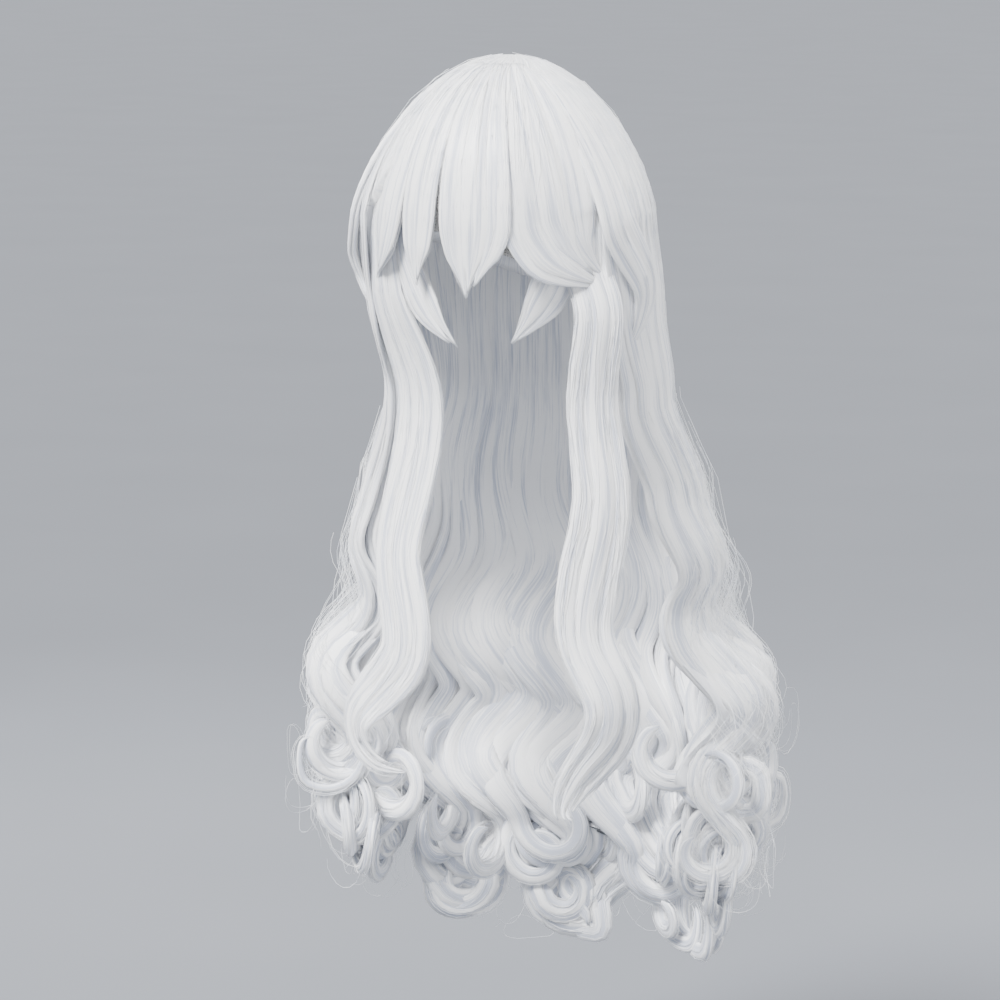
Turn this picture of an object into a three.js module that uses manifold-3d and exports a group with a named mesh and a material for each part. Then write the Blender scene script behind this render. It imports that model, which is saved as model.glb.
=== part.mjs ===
// A long wavy wig: a hollow cap, a thick layer of crown hair on it, a fringe of pointed locks, temple and
// cheek locks down to the jaw, and long hair that falls in waves round the sides and back to curled ends.
// Millimetres, +Z up. The wig faces -Y. The origin is where the top of the head meets the inside of the cap.
import * as THREE from "three";
import { mergeVertices } from "three/addons/utils/BufferGeometryUtils.js";
import Module from "manifold-3d";

const wasm = await Module();
wasm.setup();

// The head that the wig fits
const headWidth = 154;
const headLength = 194;
const crownHeight = 104; // from the top of the head down to its widest level
const widestPolar = 90; // the widest level's angle from straight up, in degrees

// The cap
const capWall = 2.5;

// Hair thickness over the head, from the head's surface out
const crownHair = 17; // at the whorl
const frontHair = 19; // over the forehead
const sideHair = 38; // over the ears and the back
const fillPower = 3; // how late the hair grows thicker on the way down from the whorl
const topLockDepth = 9; // of that, what the locks on top take
const lockSeat = 1.9; // between those locks and the crown hair under them

// The fall of the hair
const wigDrop = 742; // from the top of the head down to the lowest curl
const spreadSide = 184; // half of the width of the falling hair at its widest
const spreadBack = 78; // from its middle to the back
const hangBack = 82; // how far its middle lies behind the middle of the head
const waveStart = 250; // how far down the waves start
const waveFull = 540; // how far down they have their whole size
const wavePitch = 150; // length of one wave where the waves start
const curlPitch = 100; // length of one wave at the ends
const swaySize = 19; // how far a wave swings to each side
const swellShare = 0.45; // of that, how far it swings in and out
const curlRadius = 24; // of the hook that a lock ends in

// The long hair's own depth, and the relief of the locks on it
const longDepth = 26;
const reliefDepth = 10;

// Clearance between neighbouring solids
const gap = 0.3;

const { lerp, smoothstep, degToRad: radians } = THREE.MathUtils;

// Reads a table's column at x, with smooth steps between its rows.
function read(table, key, x, column) {
  const last = table.length - 1;
  if (x <= table[0][key]) return table[0][column];
  const i = table.findIndex((row) => x <= row[key]);
  if (i < 0) return table[last][column];
  const [a, b] = [table[i - 1], table[i]];
  return lerp(a[column], b[column], smoothstep(x, a[key], b[key]));
}

// A turn, given all the way round from the front over the wearer's left, as an angle from the front.
const fromFront = (turn) => (turn > 180 ? 360 - turn : Math.abs(turn));

// Hair thickness at a turn from the front and an angle from straight up, both in degrees.
function thicknessAt(turn, polar) {
  const full = lerp(frontHair, sideHair, smoothstep(fromFront(turn), 34, 74));
  const share = Math.pow(1 - Math.cos(radians(Math.min(polar, widestPolar))), fillPower);
  return lerp(crownHair, full, share);
}

// A point on the head, grown outwards by offset. Turns are positive on the wearer's left.
function onHead(turn, polar, offset) {
  const [t, p] = [radians(turn), radians(polar)];
  return new THREE.Vector3(
    (headWidth / 2 + offset) * Math.sin(p) * Math.sin(t),
    -(headLength / 2 + offset) * Math.sin(p) * Math.cos(t),
    -crownHeight + (crownHeight + offset) * Math.cos(p),
  );
}

// How the hair falls below the head: its share of the whole spread, and of the way that it hangs back, at
// each share of the drop.
const fallRows = [
  { drop: 0.14, spread: 0, back: 0 },
  { drop: 0.24, spread: 0.06, back: 0.2 },
  { drop: 0.34, spread: 0.12, back: 0.5 },
  { drop: 0.45, spread: 0.44, back: 0.82 },
  { drop: 0.56, spread: 0.68, back: 0.95 },
  { drop: 0.68, spread: 1, back: 1 },
  { drop: 0.86, spread: 0.92, back: 1 },
  { drop: 1, spread: 0.6, back: 1 },
];

// The turns between which the falling hair goes over from straight down, before the face, to the whole spread.
const fallTurns = { straight: 44, spread: 68 };

// A point on the hair's outer surface, moved inwards by depth. A level up to 1 runs over the head from the
// whorl to the widest level, and past 1 it falls by the crown's height for each whole step.
function onHair(turn, level, depth) {
  const polar = widestPolar * Math.min(level, 1);
  const hair = thicknessAt(turn, polar);
  if (level <= 1) return onHead(turn, polar, hair - depth);
  const t = radians(turn);
  const z = -crownHeight * level;
  const behind = smoothstep(fromFront(turn), fallTurns.straight, fallTurns.spread);
  const spread = read(fallRows, "drop", -z / wigDrop, "spread") * behind;
  const back = read(fallRows, "drop", -z / wigDrop, "back") * behind;
  const side = lerp(headWidth / 2 + hair, spreadSide, spread) - depth;
  const deep = lerp(headLength / 2 + hair, spreadBack, back) - depth;
  return new THREE.Vector3(side * Math.sin(t), hangBack * back - deep * Math.cos(t), z);
}

// The outward direction there, which the flat side of a lock faces.
function outward(turn, level) {
  const [t, p] = [radians(turn), radians(widestPolar * Math.min(level, 1))];
  return new THREE.Vector3(Math.sin(p) * Math.sin(t), -Math.sin(p) * Math.cos(t), Math.cos(p));
}

// A closed solid through rings of points, each ring with as many points as the next, from its first middle
// point to its last.
function solidThrough(first, rings, last) {
  const sides = rings[0].length;
  const points = [first, ...rings.flat(), last];
  const triangles = [];
  const at = (i, j) => 1 + i * sides + (j % sides);
  for (let j = 0; j < sides; j++) {
    triangles.push([0, at(0, j + 1), at(0, j)]);
    for (let i = 0; i + 1 < rings.length; i++) {
      triangles.push([at(i, j), at(i, j + 1), at(i + 1, j + 1)]);
      triangles.push([at(i, j), at(i + 1, j + 1), at(i + 1, j)]);
    }
    triangles.push([at(rings.length - 1, j), at(rings.length - 1, j + 1), points.length - 1]);
  }
  const vertProperties = new Float32Array(points.flatMap((p) => p.toArray()));
  const make = (faces) => {
    const triVerts = new Uint32Array(faces.flat());
    return new wasm.Manifold(new wasm.Mesh({ numProp: 3, vertProperties, triVerts }));
  };
  const solid = make(triangles);
  return solid.volume() > 0 ? solid : make(triangles.map(([a, b, c]) => [a, c, b]));
}

// A lock of hair: a flattened section of six points swept along its stations, each with a point, an outward
// direction, a width and a depth. grow makes it larger all round, for the clearance that it cuts out of others.
const lockSides = 6;
function sweepLock(stations, grow = 0) {
  const last = stations.length - 1;
  const rings = stations.map(({ point, out, width, depth }, i) => {
    const [before, after] = [stations[Math.max(i - 1, 0)].point, stations[Math.min(i + 1, last)].point];
    const along = after.clone().sub(before).normalize();
    const across = along.clone().cross(out).normalize();
    const through = across.clone().cross(along);
    const ahead = i === 0 ? -grow : i === last ? grow : 0;
    return Array.from({ length: lockSides }, (_, j) => {
      const a = (2 * Math.PI * j) / lockSides;
      return point
        .clone()
        .addScaledVector(along, ahead)
        .addScaledVector(across, Math.cos(a) * (width / 2 + grow))
        .addScaledVector(through, Math.sign(Math.round(Math.sin(a) * 2)) * (depth / 2 + grow));
    });
  });
  const sum = (ring) => ring.reduce((all, p) => all.add(p), new THREE.Vector3());
  const middle = (ring) => sum(ring).divideScalar(ring.length);
  return solidThrough(middle(rings[0]), rings, middle(rings[last]));
}

// How many waves have passed at a distance down, as the waves grow shorter from wavePitch to curlPitch.
function wavesAt(down) {
  const whole = wigDrop - waveStart;
  const share = THREE.MathUtils.clamp((down - waveStart) / whole, 0, 1);
  const pitch = lerp(wavePitch, curlPitch, share);
  return (whole / (curlPitch - wavePitch)) * Math.log(pitch / wavePitch);
}

// The long hair at each turn from the front, all the way round over the wearer's left. end: how far down it
// ends, as a share of the wig's drop. lean: the direction of its sway, in degrees from sideways to outwards.
// phase: where in a wave it starts, in whole turns.
const maneRows = [
  { turn: 62, end: 0.9, lean: 80, phase: 0.36 },
  { turn: 90, end: 0.93, lean: 64, phase: 0.38 },
  { turn: 116, end: 0.98, lean: 30, phase: 0.46 },
  { turn: 150, end: 1, lean: 8, phase: 0.56 },
  { turn: 180, end: 1, lean: 0, phase: 0.64 },
  { turn: 210, end: 1, lean: -8, phase: 0.72 },
  { turn: 244, end: 0.95, lean: -30, phase: 0.84 },
  { turn: 270, end: 0.92, lean: -64, phase: 0.9 },
  { turn: 298, end: 0.9, lean: -80, phase: 0.92 },
];

// A point in the long hair: on the hair's surface, moved inwards by depth, and swayed from side to side.
function inMane(turn, down, depth) {
  const at = (column) => read(maneRows, "turn", turn, column);
  const round = 2 * Math.PI * (wavesAt(down) + at("phase"));
  const size = swaySize * smoothstep(down, waveStart, waveFull);
  const [sway, swell] = [size * Math.sin(round), size * swellShare * Math.cos(round)];
  const lean = radians(at("lean"));
  const across = new THREE.Vector3(Math.cos(radians(turn)), Math.sin(radians(turn)), 0);
  return onHair(turn, down / crownHeight, depth)
    .addScaledVector(across, sway * Math.cos(lean) - swell * Math.sin(lean))
    .addScaledVector(outward(turn, 1), sway * Math.sin(lean) + swell * Math.cos(lean));
}

// Each node of long hair: its turns, and how far each of its locks curls at the end, in whole turns, to the
// side that the sign gives.
const manes = {
  side_hair_left: { from: 64, to: 114, hooks: [-0.5, -0.62, -0.56] },
  side_hair_right: { from: 246, to: 296, hooks: [0.6, 0.66, 0.56] },
  back_hair: { from: 114, to: 246, hooks: [-0.6, -0.52, 0.6, -0.62, 0.5, -0.56, 0.62] },
};

// How deep the long hair and its relief are at each share of the drop, as shares of their whole depths.
const maneDepths = [
  { drop: 0.14, depth: 0, relief: 0.2 },
  { drop: 0.24, depth: 0.4, relief: 0.25 },
  { drop: 0.45, depth: 0.75, relief: 0.5 },
  { drop: 0.68, depth: 1, relief: 1 },
  { drop: 1, depth: 0.9, relief: 1 },
];
const rootPolar = 14; // where the locks leave the whorl, in degrees from straight up
const sheetEnd = 0.87; // where the layer of locks ends and their tips go on alone, as a share of its drop
const headRows = 6;
const maneLevels = 23;
const fallEase = 0.75; // makes the levels closer together further down, where the hair waves
const edgeGap = gap * 0.7; // what each layer gives up at an edge that it shares with the next
const lockRelief = [1, 0, 0]; // across one lock, from its edge

// The long hair of one node as a layer over the head and down its back or side, with a groove between locks.
function maneSheet({ from, to, hooks }, grow = 0) {
  const lockTurn = (to - from) / hooks.length;
  const [inner, outer] = [hooks.length, hooks.length * lockRelief.length];
  const pointAt = (level, turn, relief, under) => {
    const end = read(maneRows, "turn", turn, "end") * sheetEnd * wigDrop;
    const fall = Math.max(level - headRows, 0) / (maneLevels - headRows);
    const polar = lerp(rootPolar, widestPolar, Math.min(level / headRows, 1));
    const overHead = (crownHeight * polar) / widestPolar;
    const down = lerp(overHead, end, Math.pow(fall, fallEase));
    const at = (column) => read(maneDepths, "drop", down / wigDrop, column);
    const whole = lerp(topLockDepth, longDepth, at("depth")) + grow;
    return inMane(turn, down, under ? whole : reliefDepth * at("relief") * relief - grow);
  };
  const rings = Array.from({ length: maneLevels + 1 }, (_, level) => [
    ...Array.from({ length: outer + 1 }, (_, j) => {
      const turn = from + (lockTurn * j) / lockRelief.length;
      return pointAt(level, turn, lockRelief[j % lockRelief.length], false);
    }),
    ...Array.from({ length: inner + 1 }, (_, j) => pointAt(level, to - lockTurn * j, 0, true)),
  ]);
  const edges = [[0, from, -1], [outer, to, 1], [outer + 1, to, 1], [outer + inner + 1, from, -1]];
  for (const [at, turn, side] of edges) {
    const sideways = new THREE.Vector3(Math.cos(radians(turn)), Math.sin(radians(turn)), 0);
    for (const ring of rings) ring[at].addScaledVector(sideways, side * (grow - edgeGap));
  }
  const middle = (ring) => ring[Math.round(outer / 2)].clone().lerp(ring[outer + 1 + Math.round(inner / 2)], 0.5);
  return solidThrough(middle(rings[0]), rings, middle(rings[maneLevels]));
}

// The tip of one lock: it goes on from the layer's lower edge, then curls round in a hook.
const tipStep = 24;
const tipRoot = 36; // how far above the layer's lower edge it starts
const tipSink = 0.5; // how deep it runs, as a share of the long hair's depth
const hookRoom = 1.6; // what the hook leaves of the drop, in curl radii
const hookSteps = 6;
const tipProfile = [
  { along: 0, width: 1, depth: 0.8 },
  { along: 0.45, width: 0.78, depth: 0.8 },
  { along: 0.75, width: 0.5, depth: 0.7 },
  { along: 1, width: 0.16, depth: 0.24 },
];
function tipStations(turn, hook, width) {
  const end = read(maneRows, "turn", turn, "end") * wigDrop;
  const lean = radians(read(maneRows, "turn", turn, "lean"));
  const across = new THREE.Vector3(Math.cos(radians(turn)), Math.sin(radians(turn)), 0);
  const out = outward(turn, 1);
  const aside = across.clone().multiplyScalar(Math.cos(lean)).addScaledVector(out, Math.sin(lean));
  const points = [];
  for (let down = end * sheetEnd - tipRoot; down < end - curlRadius * hookRoom; down += tipStep)
    points.push(inMane(turn, down, longDepth * tipSink));
  const last = points[points.length - 1];
  const fall = last.clone().sub(points[points.length - 2]).normalize();
  let heading = Math.atan2(fall.dot(aside), -fall.z);
  const bend = (2 * Math.PI * hook - heading) / hookSteps;
  for (let i = 0, place = last.clone(); i < hookSteps; i++) {
    heading += bend;
    const step = curlRadius * Math.abs(bend);
    place = place.clone().addScaledVector(aside, step * Math.sin(heading));
    place.z -= step * Math.cos(heading);
    points.push(place);
  }
  return points.map((point, i) => {
    const at = (column) => read(tipProfile, "along", i / (points.length - 1), column);
    return { point, out, width: width * at("width"), depth: longDepth * at("depth") };
  });
}

// The front locks run down over the temples and fall before the shoulders. Each row of the fall is one
// section: its share of the drop, how far out to its side as a share of spreadSide, how far forward as a
// share of hangBack, and its width and depth as shares of the lock's own.
const frontWidth = 48;
const frontDepth = 20;
const frontLocks = {
  front_lock_left: {
    turn: 57,
    rows: [
      { drop: 0.24, side: 0.52, fore: 0.76, width: 0.85, depth: 0.6 },
      { drop: 0.33, side: 0.48, fore: 0.7, width: 0.95, depth: 0.8 },
      { drop: 0.43, side: 0.55, fore: 0.76, width: 1, depth: 0.9 },
      { drop: 0.51, side: 0.48, fore: 0.84, width: 1.1, depth: 1 },
      { drop: 0.58, side: 0.47, fore: 0.9, width: 0.9, depth: 1 },
      { drop: 0.64, side: 0.57, fore: 0.86, width: 0.9, depth: 1 },
      { drop: 0.69, side: 0.52, fore: 0.8, width: 1.1, depth: 1 },
      { drop: 0.735, side: 0.4, fore: 0.84, width: 1, depth: 1 },
      { drop: 0.765, side: 0.49, fore: 0.92, width: 0.7, depth: 0.8 },
      { drop: 0.745, side: 0.6, fore: 0.88, width: 0.3, depth: 0.5 },
    ],
  },
  front_lock_right: {
    turn: -57,
    rows: [
      { drop: 0.24, side: -0.43, fore: 0.66, width: 0.95, depth: 0.6 },
      { drop: 0.33, side: -0.31, fore: 0.5, width: 1.2, depth: 0.8 },
      { drop: 0.42, side: -0.34, fore: 0.56, width: 1.2, depth: 0.9 },
      { drop: 0.5, side: -0.4, fore: 0.66, width: 1.1, depth: 1 },
      { drop: 0.56, side: -0.35, fore: 0.78, width: 1.1, depth: 1 },
      { drop: 0.61, side: -0.33, fore: 0.84, width: 1.1, depth: 1 },
      { drop: 0.65, side: -0.44, fore: 0.8, width: 1.1, depth: 1 },
      { drop: 0.69, side: -0.56, fore: 0.78, width: 1.1, depth: 1 },
      { drop: 0.73, side: -0.49, fore: 0.8, width: 0.9, depth: 0.9 },
      { drop: 0.73, side: -0.36, fore: 0.86, width: 0.35, depth: 0.5 },
    ],
  },
};

// The part of a front lock that lies over the head, under the temple lock.
const frontHeadRows = [
  { level: 0.3, width: 0.4, depth: 0.4 },
  { level: 0.65, width: 0.75, depth: 0.4 },
  { level: 1, width: 0.85, depth: 0.45 },
  { level: 1.3, width: 0.85, depth: 0.5 },
];

// The short locks lie on the hair's outer surface and end in a point. Each row is one section: level and turn
// as on the hair's surface, width and depth as shares of the lock's own, and how far it stands off.
const shortLocks = {
  fringe_centre: {
    width: 56,
    rows: [
      { level: 0.18, turn: 4, width: 0.2, depth: 0.6, off: 0 },
      { level: 0.5, turn: 4, width: 0.68, depth: 0.8, off: 0 },
      { level: 0.8, turn: 5, width: 0.96, depth: 1, off: 0 },
      { level: 1.05, turn: 5, width: 1, depth: 1, off: 0 },
      { level: 1.25, turn: 4, width: 0.8, depth: 0.9, off: -1 },
      { level: 1.45, turn: 3, width: 0.44, depth: 0.7, off: -2 },
      { level: 1.62, turn: 2, width: 0.06, depth: 0.3, off: -3 },
    ],
  },
  fringe_right_inner: {
    width: 34,
    rows: [
      { level: 0.18, turn: -22, width: 0.2, depth: 0.6, off: 0 },
      { level: 0.5, turn: -23, width: 0.7, depth: 0.8, off: 0 },
      { level: 0.8, turn: -24, width: 0.95, depth: 1, off: 0 },
      { level: 1.05, turn: -25, width: 1, depth: 1, off: 0 },
      { level: 1.28, turn: -27, width: 0.9, depth: 0.9, off: 0 },
      { level: 1.46, turn: -29, width: 0.55, depth: 0.7, off: -1 },
      { level: 1.61, turn: -29, width: 0.08, depth: 0.3, off: -2 },
    ],
  },
  fringe_right_outer: {
    width: 38,
    rows: [
      { level: 0.18, turn: -42, width: 0.2, depth: 0.6, off: 0 },
      { level: 0.5, turn: -43, width: 0.7, depth: 0.8, off: 0 },
      { level: 0.8, turn: -44, width: 0.95, depth: 1, off: 0 },
      { level: 1, turn: -46, width: 1, depth: 1, off: 0 },
      { level: 1.2, turn: -49, width: 0.85, depth: 0.9, off: 0 },
      { level: 1.36, turn: -53, width: 0.5, depth: 0.7, off: -1 },
      { level: 1.5, turn: -57, width: 0.08, depth: 0.3, off: -2 },
    ],
  },
  fringe_left: {
    width: 84,
    rows: [
      { level: 0.18, turn: 30, width: 0.2, depth: 0.6, off: 0 },
      { level: 0.5, turn: 34, width: 0.66, depth: 0.8, off: 0 },
      { level: 0.8, turn: 38, width: 0.9, depth: 1, off: 0 },
      { level: 1, turn: 40, width: 0.98, depth: 1, off: 0 },
      { level: 1.2, turn: 45, width: 0.86, depth: 0.9, off: 0 },
      { level: 1.36, turn: 53, width: 0.52, depth: 0.7, off: 0 },
      { level: 1.5, turn: 61, width: 0.08, depth: 0.3, off: 0 },
    ],
  },
  temple_lock_left: {
    width: 34,
    rows: [
      { level: 0.3, turn: 58, width: 0.3, depth: 0.6, off: 0 },
      { level: 0.7, turn: 64, width: 0.8, depth: 0.9, off: 1 },
      { level: 1.1, turn: 68, width: 1, depth: 1.1, off: 5 },
      { level: 1.5, turn: 76, width: 0.9, depth: 1, off: 8 },
      { level: 1.8, turn: 74, width: 0.55, depth: 0.8, off: 4 },
      { level: 2.08, turn: 62, width: 0.1, depth: 0.3, off: -2 },
    ],
  },
  temple_lock_right: {
    width: 34,
    rows: [
      { level: 0.3, turn: -66, width: 0.3, depth: 0.6, off: 0 },
      { level: 0.65, turn: -72, width: 0.8, depth: 0.9, off: 1 },
      { level: 1, turn: -76, width: 1, depth: 1.1, off: 6 },
      { level: 1.3, turn: -78, width: 0.95, depth: 1, off: 9 },
      { level: 1.55, turn: -74, width: 0.55, depth: 0.8, off: 5 },
      { level: 1.8, turn: -64, width: 0.1, depth: 0.3, off: -2 },
    ],
  },
  cheek_lock_left: {
    width: 40,
    rows: [
      { level: 0.6, turn: 46, width: 0.5, depth: 0.3, off: -9.5 },
      { level: 0.95, turn: 49, width: 0.75, depth: 0.7, off: -9.8 },
      { level: 1.3, turn: 49, width: 0.95, depth: 0.9, off: -10 },
      { level: 1.55, turn: 44, width: 0.9, depth: 0.9, off: -12 },
      { level: 1.75, turn: 36, width: 0.6, depth: 0.7, off: -16 },
      { level: 1.92, turn: 25, width: 0.1, depth: 0.3, off: -24 },
    ],
  },
  cheek_lock_right: {
    width: 40,
    rows: [
      { level: 0.6, turn: -44, width: 0.5, depth: 0.3, off: -9.5 },
      { level: 0.95, turn: -45, width: 0.75, depth: 0.7, off: -9.8 },
      { level: 1.3, turn: -44, width: 0.95, depth: 0.9, off: -10 },
      { level: 1.55, turn: -36, width: 0.9, depth: 0.9, off: -12 },
      { level: 1.78, turn: -24, width: 0.6, depth: 0.7, off: -16 },
      { level: 1.96, turn: -10, width: 0.1, depth: 0.3, off: -24 },
    ],
  },
};

// Turns a short lock's rows into stations, with smooth steps between them.
const shortSteps = 11;
function shortStations({ width, rows }) {
  const [first, last] = [rows[0].level, rows[rows.length - 1].level];
  return Array.from({ length: shortSteps + 1 }, (_, i) => {
    const level = lerp(first, last, i / shortSteps);
    const at = (column) => read(rows, "level", level, column);
    const depth = topLockDepth * at("depth");
    return {
      point: onHair(at("turn"), level, depth / 2 - at("off")),
      out: outward(at("turn"), level),
      width: width * at("width"),
      depth,
    };
  });
}

// Turns a front lock's rows into stations along one smooth curve through them.
const frontSteps = 27;
function frontStations({ turn, rows }) {
  const onTop = frontHeadRows.map(({ level, width, depth }) => ({
    point: onHair(turn, level, frontDepth * depth * 0.5),
    width,
    depth,
  }));
  const falling = rows.map(({ drop, side, fore, width, depth }) => ({
    point: new THREE.Vector3(side * spreadSide, -fore * hangBack, -drop * wigDrop),
    width,
    depth,
  }));
  const all = [...onTop, ...falling];
  const curve = new THREE.CatmullRomCurve3(all.map(({ point }) => point));
  return Array.from({ length: frontSteps + 1 }, (_, i) => {
    const place = (i / frontSteps) * (all.length - 1);
    const [row, next] = [Math.floor(place), Math.ceil(place)];
    const at = (column) => lerp(all[row][column], all[next][column], place - row);
    const point = curve.getPoint(i / frontSteps);
    const level = -point.z / crownHeight;
    const away = new THREE.Vector3(point.x, Math.min(point.y, 0) * 2, 0).normalize();
    const out = level < 1 ? outward(turn, level) : away;
    return { point, out, width: frontWidth * at("width"), depth: frontDepth * at("depth") };
  });
}

// The rim of the cap and of the crown hair: the angle from straight up at each turn from the front.
const rimRows = [
  { turn: 0, polar: 58 },
  { turn: 40, polar: 67 },
  { turn: 72, polar: 92 },
  { turn: 105, polar: 102 },
  { turn: 180, polar: 120 },
];

// A hollow shell over the head between two offsets from it, down to the rim. Two shells that lie on each other
// both start from the faces that meet, so that these are split into the same triangles.
const shellTurns = 24;
const shellRows = 7;
function shellOnHead(startAt, farAt) {
  const rowAt = (i, offsetAt) =>
    Array.from({ length: shellTurns }, (_, j) => {
      const turn = (360 * j) / shellTurns - 180;
      const polar = (read(rimRows, "turn", Math.abs(turn), "polar") * i) / shellRows;
      return onHead(turn, polar, offsetAt(turn, polar));
    });
  const levels = Array.from({ length: shellRows }, (_, i) => i + 1);
  const start = levels.map((i) => rowAt(i, startAt));
  const far = levels.map((i) => rowAt(i, farAt)).reverse();
  return solidThrough(onHead(0, 0, startAt(0, 0)), [...start, ...far], onHead(0, 0, farAt(0, 0)));
}

// The crown hair fills the room between the cap and the locks on it, and rises through them at the whorl.
const whorlPolar = rootPolar - 3;
function crownOuter(turn, polar) {
  const under = thicknessAt(turn, polar) - topLockDepth - lockSeat;
  return polar < whorlPolar ? thicknessAt(turn, polar) : under;
}

// The width of one lock where the layer ends.
function widthAtEnd(turn, lockTurn) {
  const level = (read(maneRows, "turn", turn, "end") * sheetEnd * wigDrop) / crownHeight;
  return onHair(turn - lockTurn / 2, level, 0).distanceTo(onHair(turn + lockTurn / 2, level, 0));
}

// The long hair of one node: its layer and the tip of each of its locks.
function longHair(mane, grow = 0) {
  const lockTurn = (mane.to - mane.from) / mane.hooks.length;
  const tips = mane.hooks.map((hook, i) => {
    const turn = mane.from + lockTurn * (i + 0.5);
    return sweepLock(tipStations(turn, hook, widthAtEnd(turn, lockTurn)), grow);
  });
  return tips.reduce((all, tip) => all.add(tip), maneSheet(mane, grow));
}

// Every layer, from the one on top to the one at the head. Each is cut clear of those before it.
const layers = [];
const shortOrder = [
  "temple_lock_left",
  "temple_lock_right",
  "fringe_centre",
  "fringe_right_inner",
  "fringe_right_outer",
  "fringe_left",
  "cheek_lock_left",
  "cheek_lock_right",
];
for (const name of shortOrder) {
  const stations = shortStations(shortLocks[name]);
  layers.push({ name, solid: sweepLock(stations), grown: sweepLock(stations, gap) });
}
for (const [name, lock] of Object.entries(frontLocks)) {
  const stations = frontStations(lock);
  layers.push({ name, solid: sweepLock(stations), grown: sweepLock(stations, gap) });
}
for (const [name, mane] of Object.entries(manes))
  layers.push({ name, solid: longHair(mane), grown: longHair(mane, gap) });
layers.push({ name: "crown_hair", solid: shellOnHead(() => capWall + gap, crownOuter) });
layers.push({ name: "wig_cap", solid: shellOnHead(() => capWall, () => 0) });

// The geometry of a solid's largest body, with vertices that all but touch welded, so that offcuts and closed
// pockets between curls fall away.
const weld = 1e-3;
function geometryOf({ vertProperties, triVerts }) {
  return new THREE.BufferGeometry()
    .setAttribute("position", new THREE.BufferAttribute(vertProperties, 3))
    .setIndex(new THREE.BufferAttribute(triVerts, 1));
}
function largestBody(solid) {
  const welded = mergeVertices(geometryOf(solid.getMesh()), weld);
  const mesh = new wasm.Mesh({
    numProp: 3,
    vertProperties: welded.getAttribute("position").array,
    triVerts: new Uint32Array(welded.index.array),
  });
  const bodies = new wasm.Manifold(mesh).decompose();
  return bodies.reduce((best, body) => (body.volume() > best.volume() ? body : best));
}

const group = new THREE.Group();
const hairFibre = new THREE.MeshStandardMaterial({ color: 0xf2f3f6, roughness: 0.42, metalness: 0 });
const capNet = new THREE.MeshStandardMaterial({ color: 0xe6e4e0, roughness: 0.85, metalness: 0 });
layers.forEach(({ name, solid }, i) => {
  const cutters = name === "wig_cap" ? [] : layers.slice(0, i).flatMap((layer) => [layer.grown, layer.solid]);
  const cut = largestBody(cutters.reduce((left, cutter) => left.subtract(cutter), solid));
  const mesh = new THREE.Mesh(geometryOf(cut.getMesh()), name === "wig_cap" ? capNet : hairFibre);
  mesh.name = name;
  group.add(mesh);
});
export default group;
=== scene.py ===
# The looks of a long wavy wig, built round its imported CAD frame. Metres, +Z up, the wig faces -Y.
# Sizes are in millimetres, as the frame's own are, and a mesh comes to metres when it is written.
import math

import bpy
import numpy as np
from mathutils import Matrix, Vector


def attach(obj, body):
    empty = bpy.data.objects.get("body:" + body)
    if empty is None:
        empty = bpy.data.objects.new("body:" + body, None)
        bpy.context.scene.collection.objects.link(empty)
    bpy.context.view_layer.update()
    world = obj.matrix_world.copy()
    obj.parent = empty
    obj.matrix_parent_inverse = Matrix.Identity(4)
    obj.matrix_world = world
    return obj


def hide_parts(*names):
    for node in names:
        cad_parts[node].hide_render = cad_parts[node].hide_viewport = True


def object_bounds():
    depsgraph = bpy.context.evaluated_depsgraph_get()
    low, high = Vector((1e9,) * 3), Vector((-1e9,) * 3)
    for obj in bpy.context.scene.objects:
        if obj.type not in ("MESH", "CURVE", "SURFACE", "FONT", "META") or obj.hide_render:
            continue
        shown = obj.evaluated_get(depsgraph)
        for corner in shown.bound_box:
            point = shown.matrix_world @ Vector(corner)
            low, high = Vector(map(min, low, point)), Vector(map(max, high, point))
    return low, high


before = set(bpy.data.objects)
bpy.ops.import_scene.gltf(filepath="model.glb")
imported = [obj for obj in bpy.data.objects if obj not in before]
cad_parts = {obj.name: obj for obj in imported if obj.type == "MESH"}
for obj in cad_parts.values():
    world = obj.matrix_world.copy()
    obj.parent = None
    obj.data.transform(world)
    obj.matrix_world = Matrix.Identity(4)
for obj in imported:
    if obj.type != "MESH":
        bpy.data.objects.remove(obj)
cad_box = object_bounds()

# The cap: elastic net, cut in panels, sewn to the shape of a head and edged inside with a soft tape.
# Rows of weft, the strips that carry the hair, run round its inside, each held by a seam of long stitches.
MM = 0.001
HEAD_WIDTH, HEAD_LENGTH, CROWN_HEIGHT = 154.0, 194.0, 104.0
CAP_WALL = 2.5
TAPE_WIDTH, TAPE_RISE, TAPE_ROUND = 9.0, 0.8, 0.9
CAP_COLUMNS, CAP_ROWS = 108, 34
# Turn from the front, and the angle from straight up at which the cap ends
RIM_ROWS = [(0, 58), (40, 67), (72, 92), (105, 102), (180, 120)]
# The first row of weft and the angle between two rows, in degrees, and how far a row stays from the edge
WEFT_FIRST, WEFT_STEP, WEFT_MARGIN = 14, 8, 7
WEFT_WIDTH, WEFT_RISE, WEFT_POINTS = 4.5, 1.3, 72
STITCH_PITCH, STITCH_LENGTH, STITCH_THICKNESS, ASKEW = 5.0, 3.6, 0.6, 0.25
NET_PITCH = 2.4  # drawn coarser than a real net of about 1 mm, which no render would show


def ease(x, low, high):
    """Goes smoothly from 0 at low to 1 at high."""
    t = np.clip((np.asarray(x, float) - low) / (high - low), 0, 1)
    return t * t * (3 - 2 * t)


def mix(a, b, t):
    return a + (b - a) * t


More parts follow.
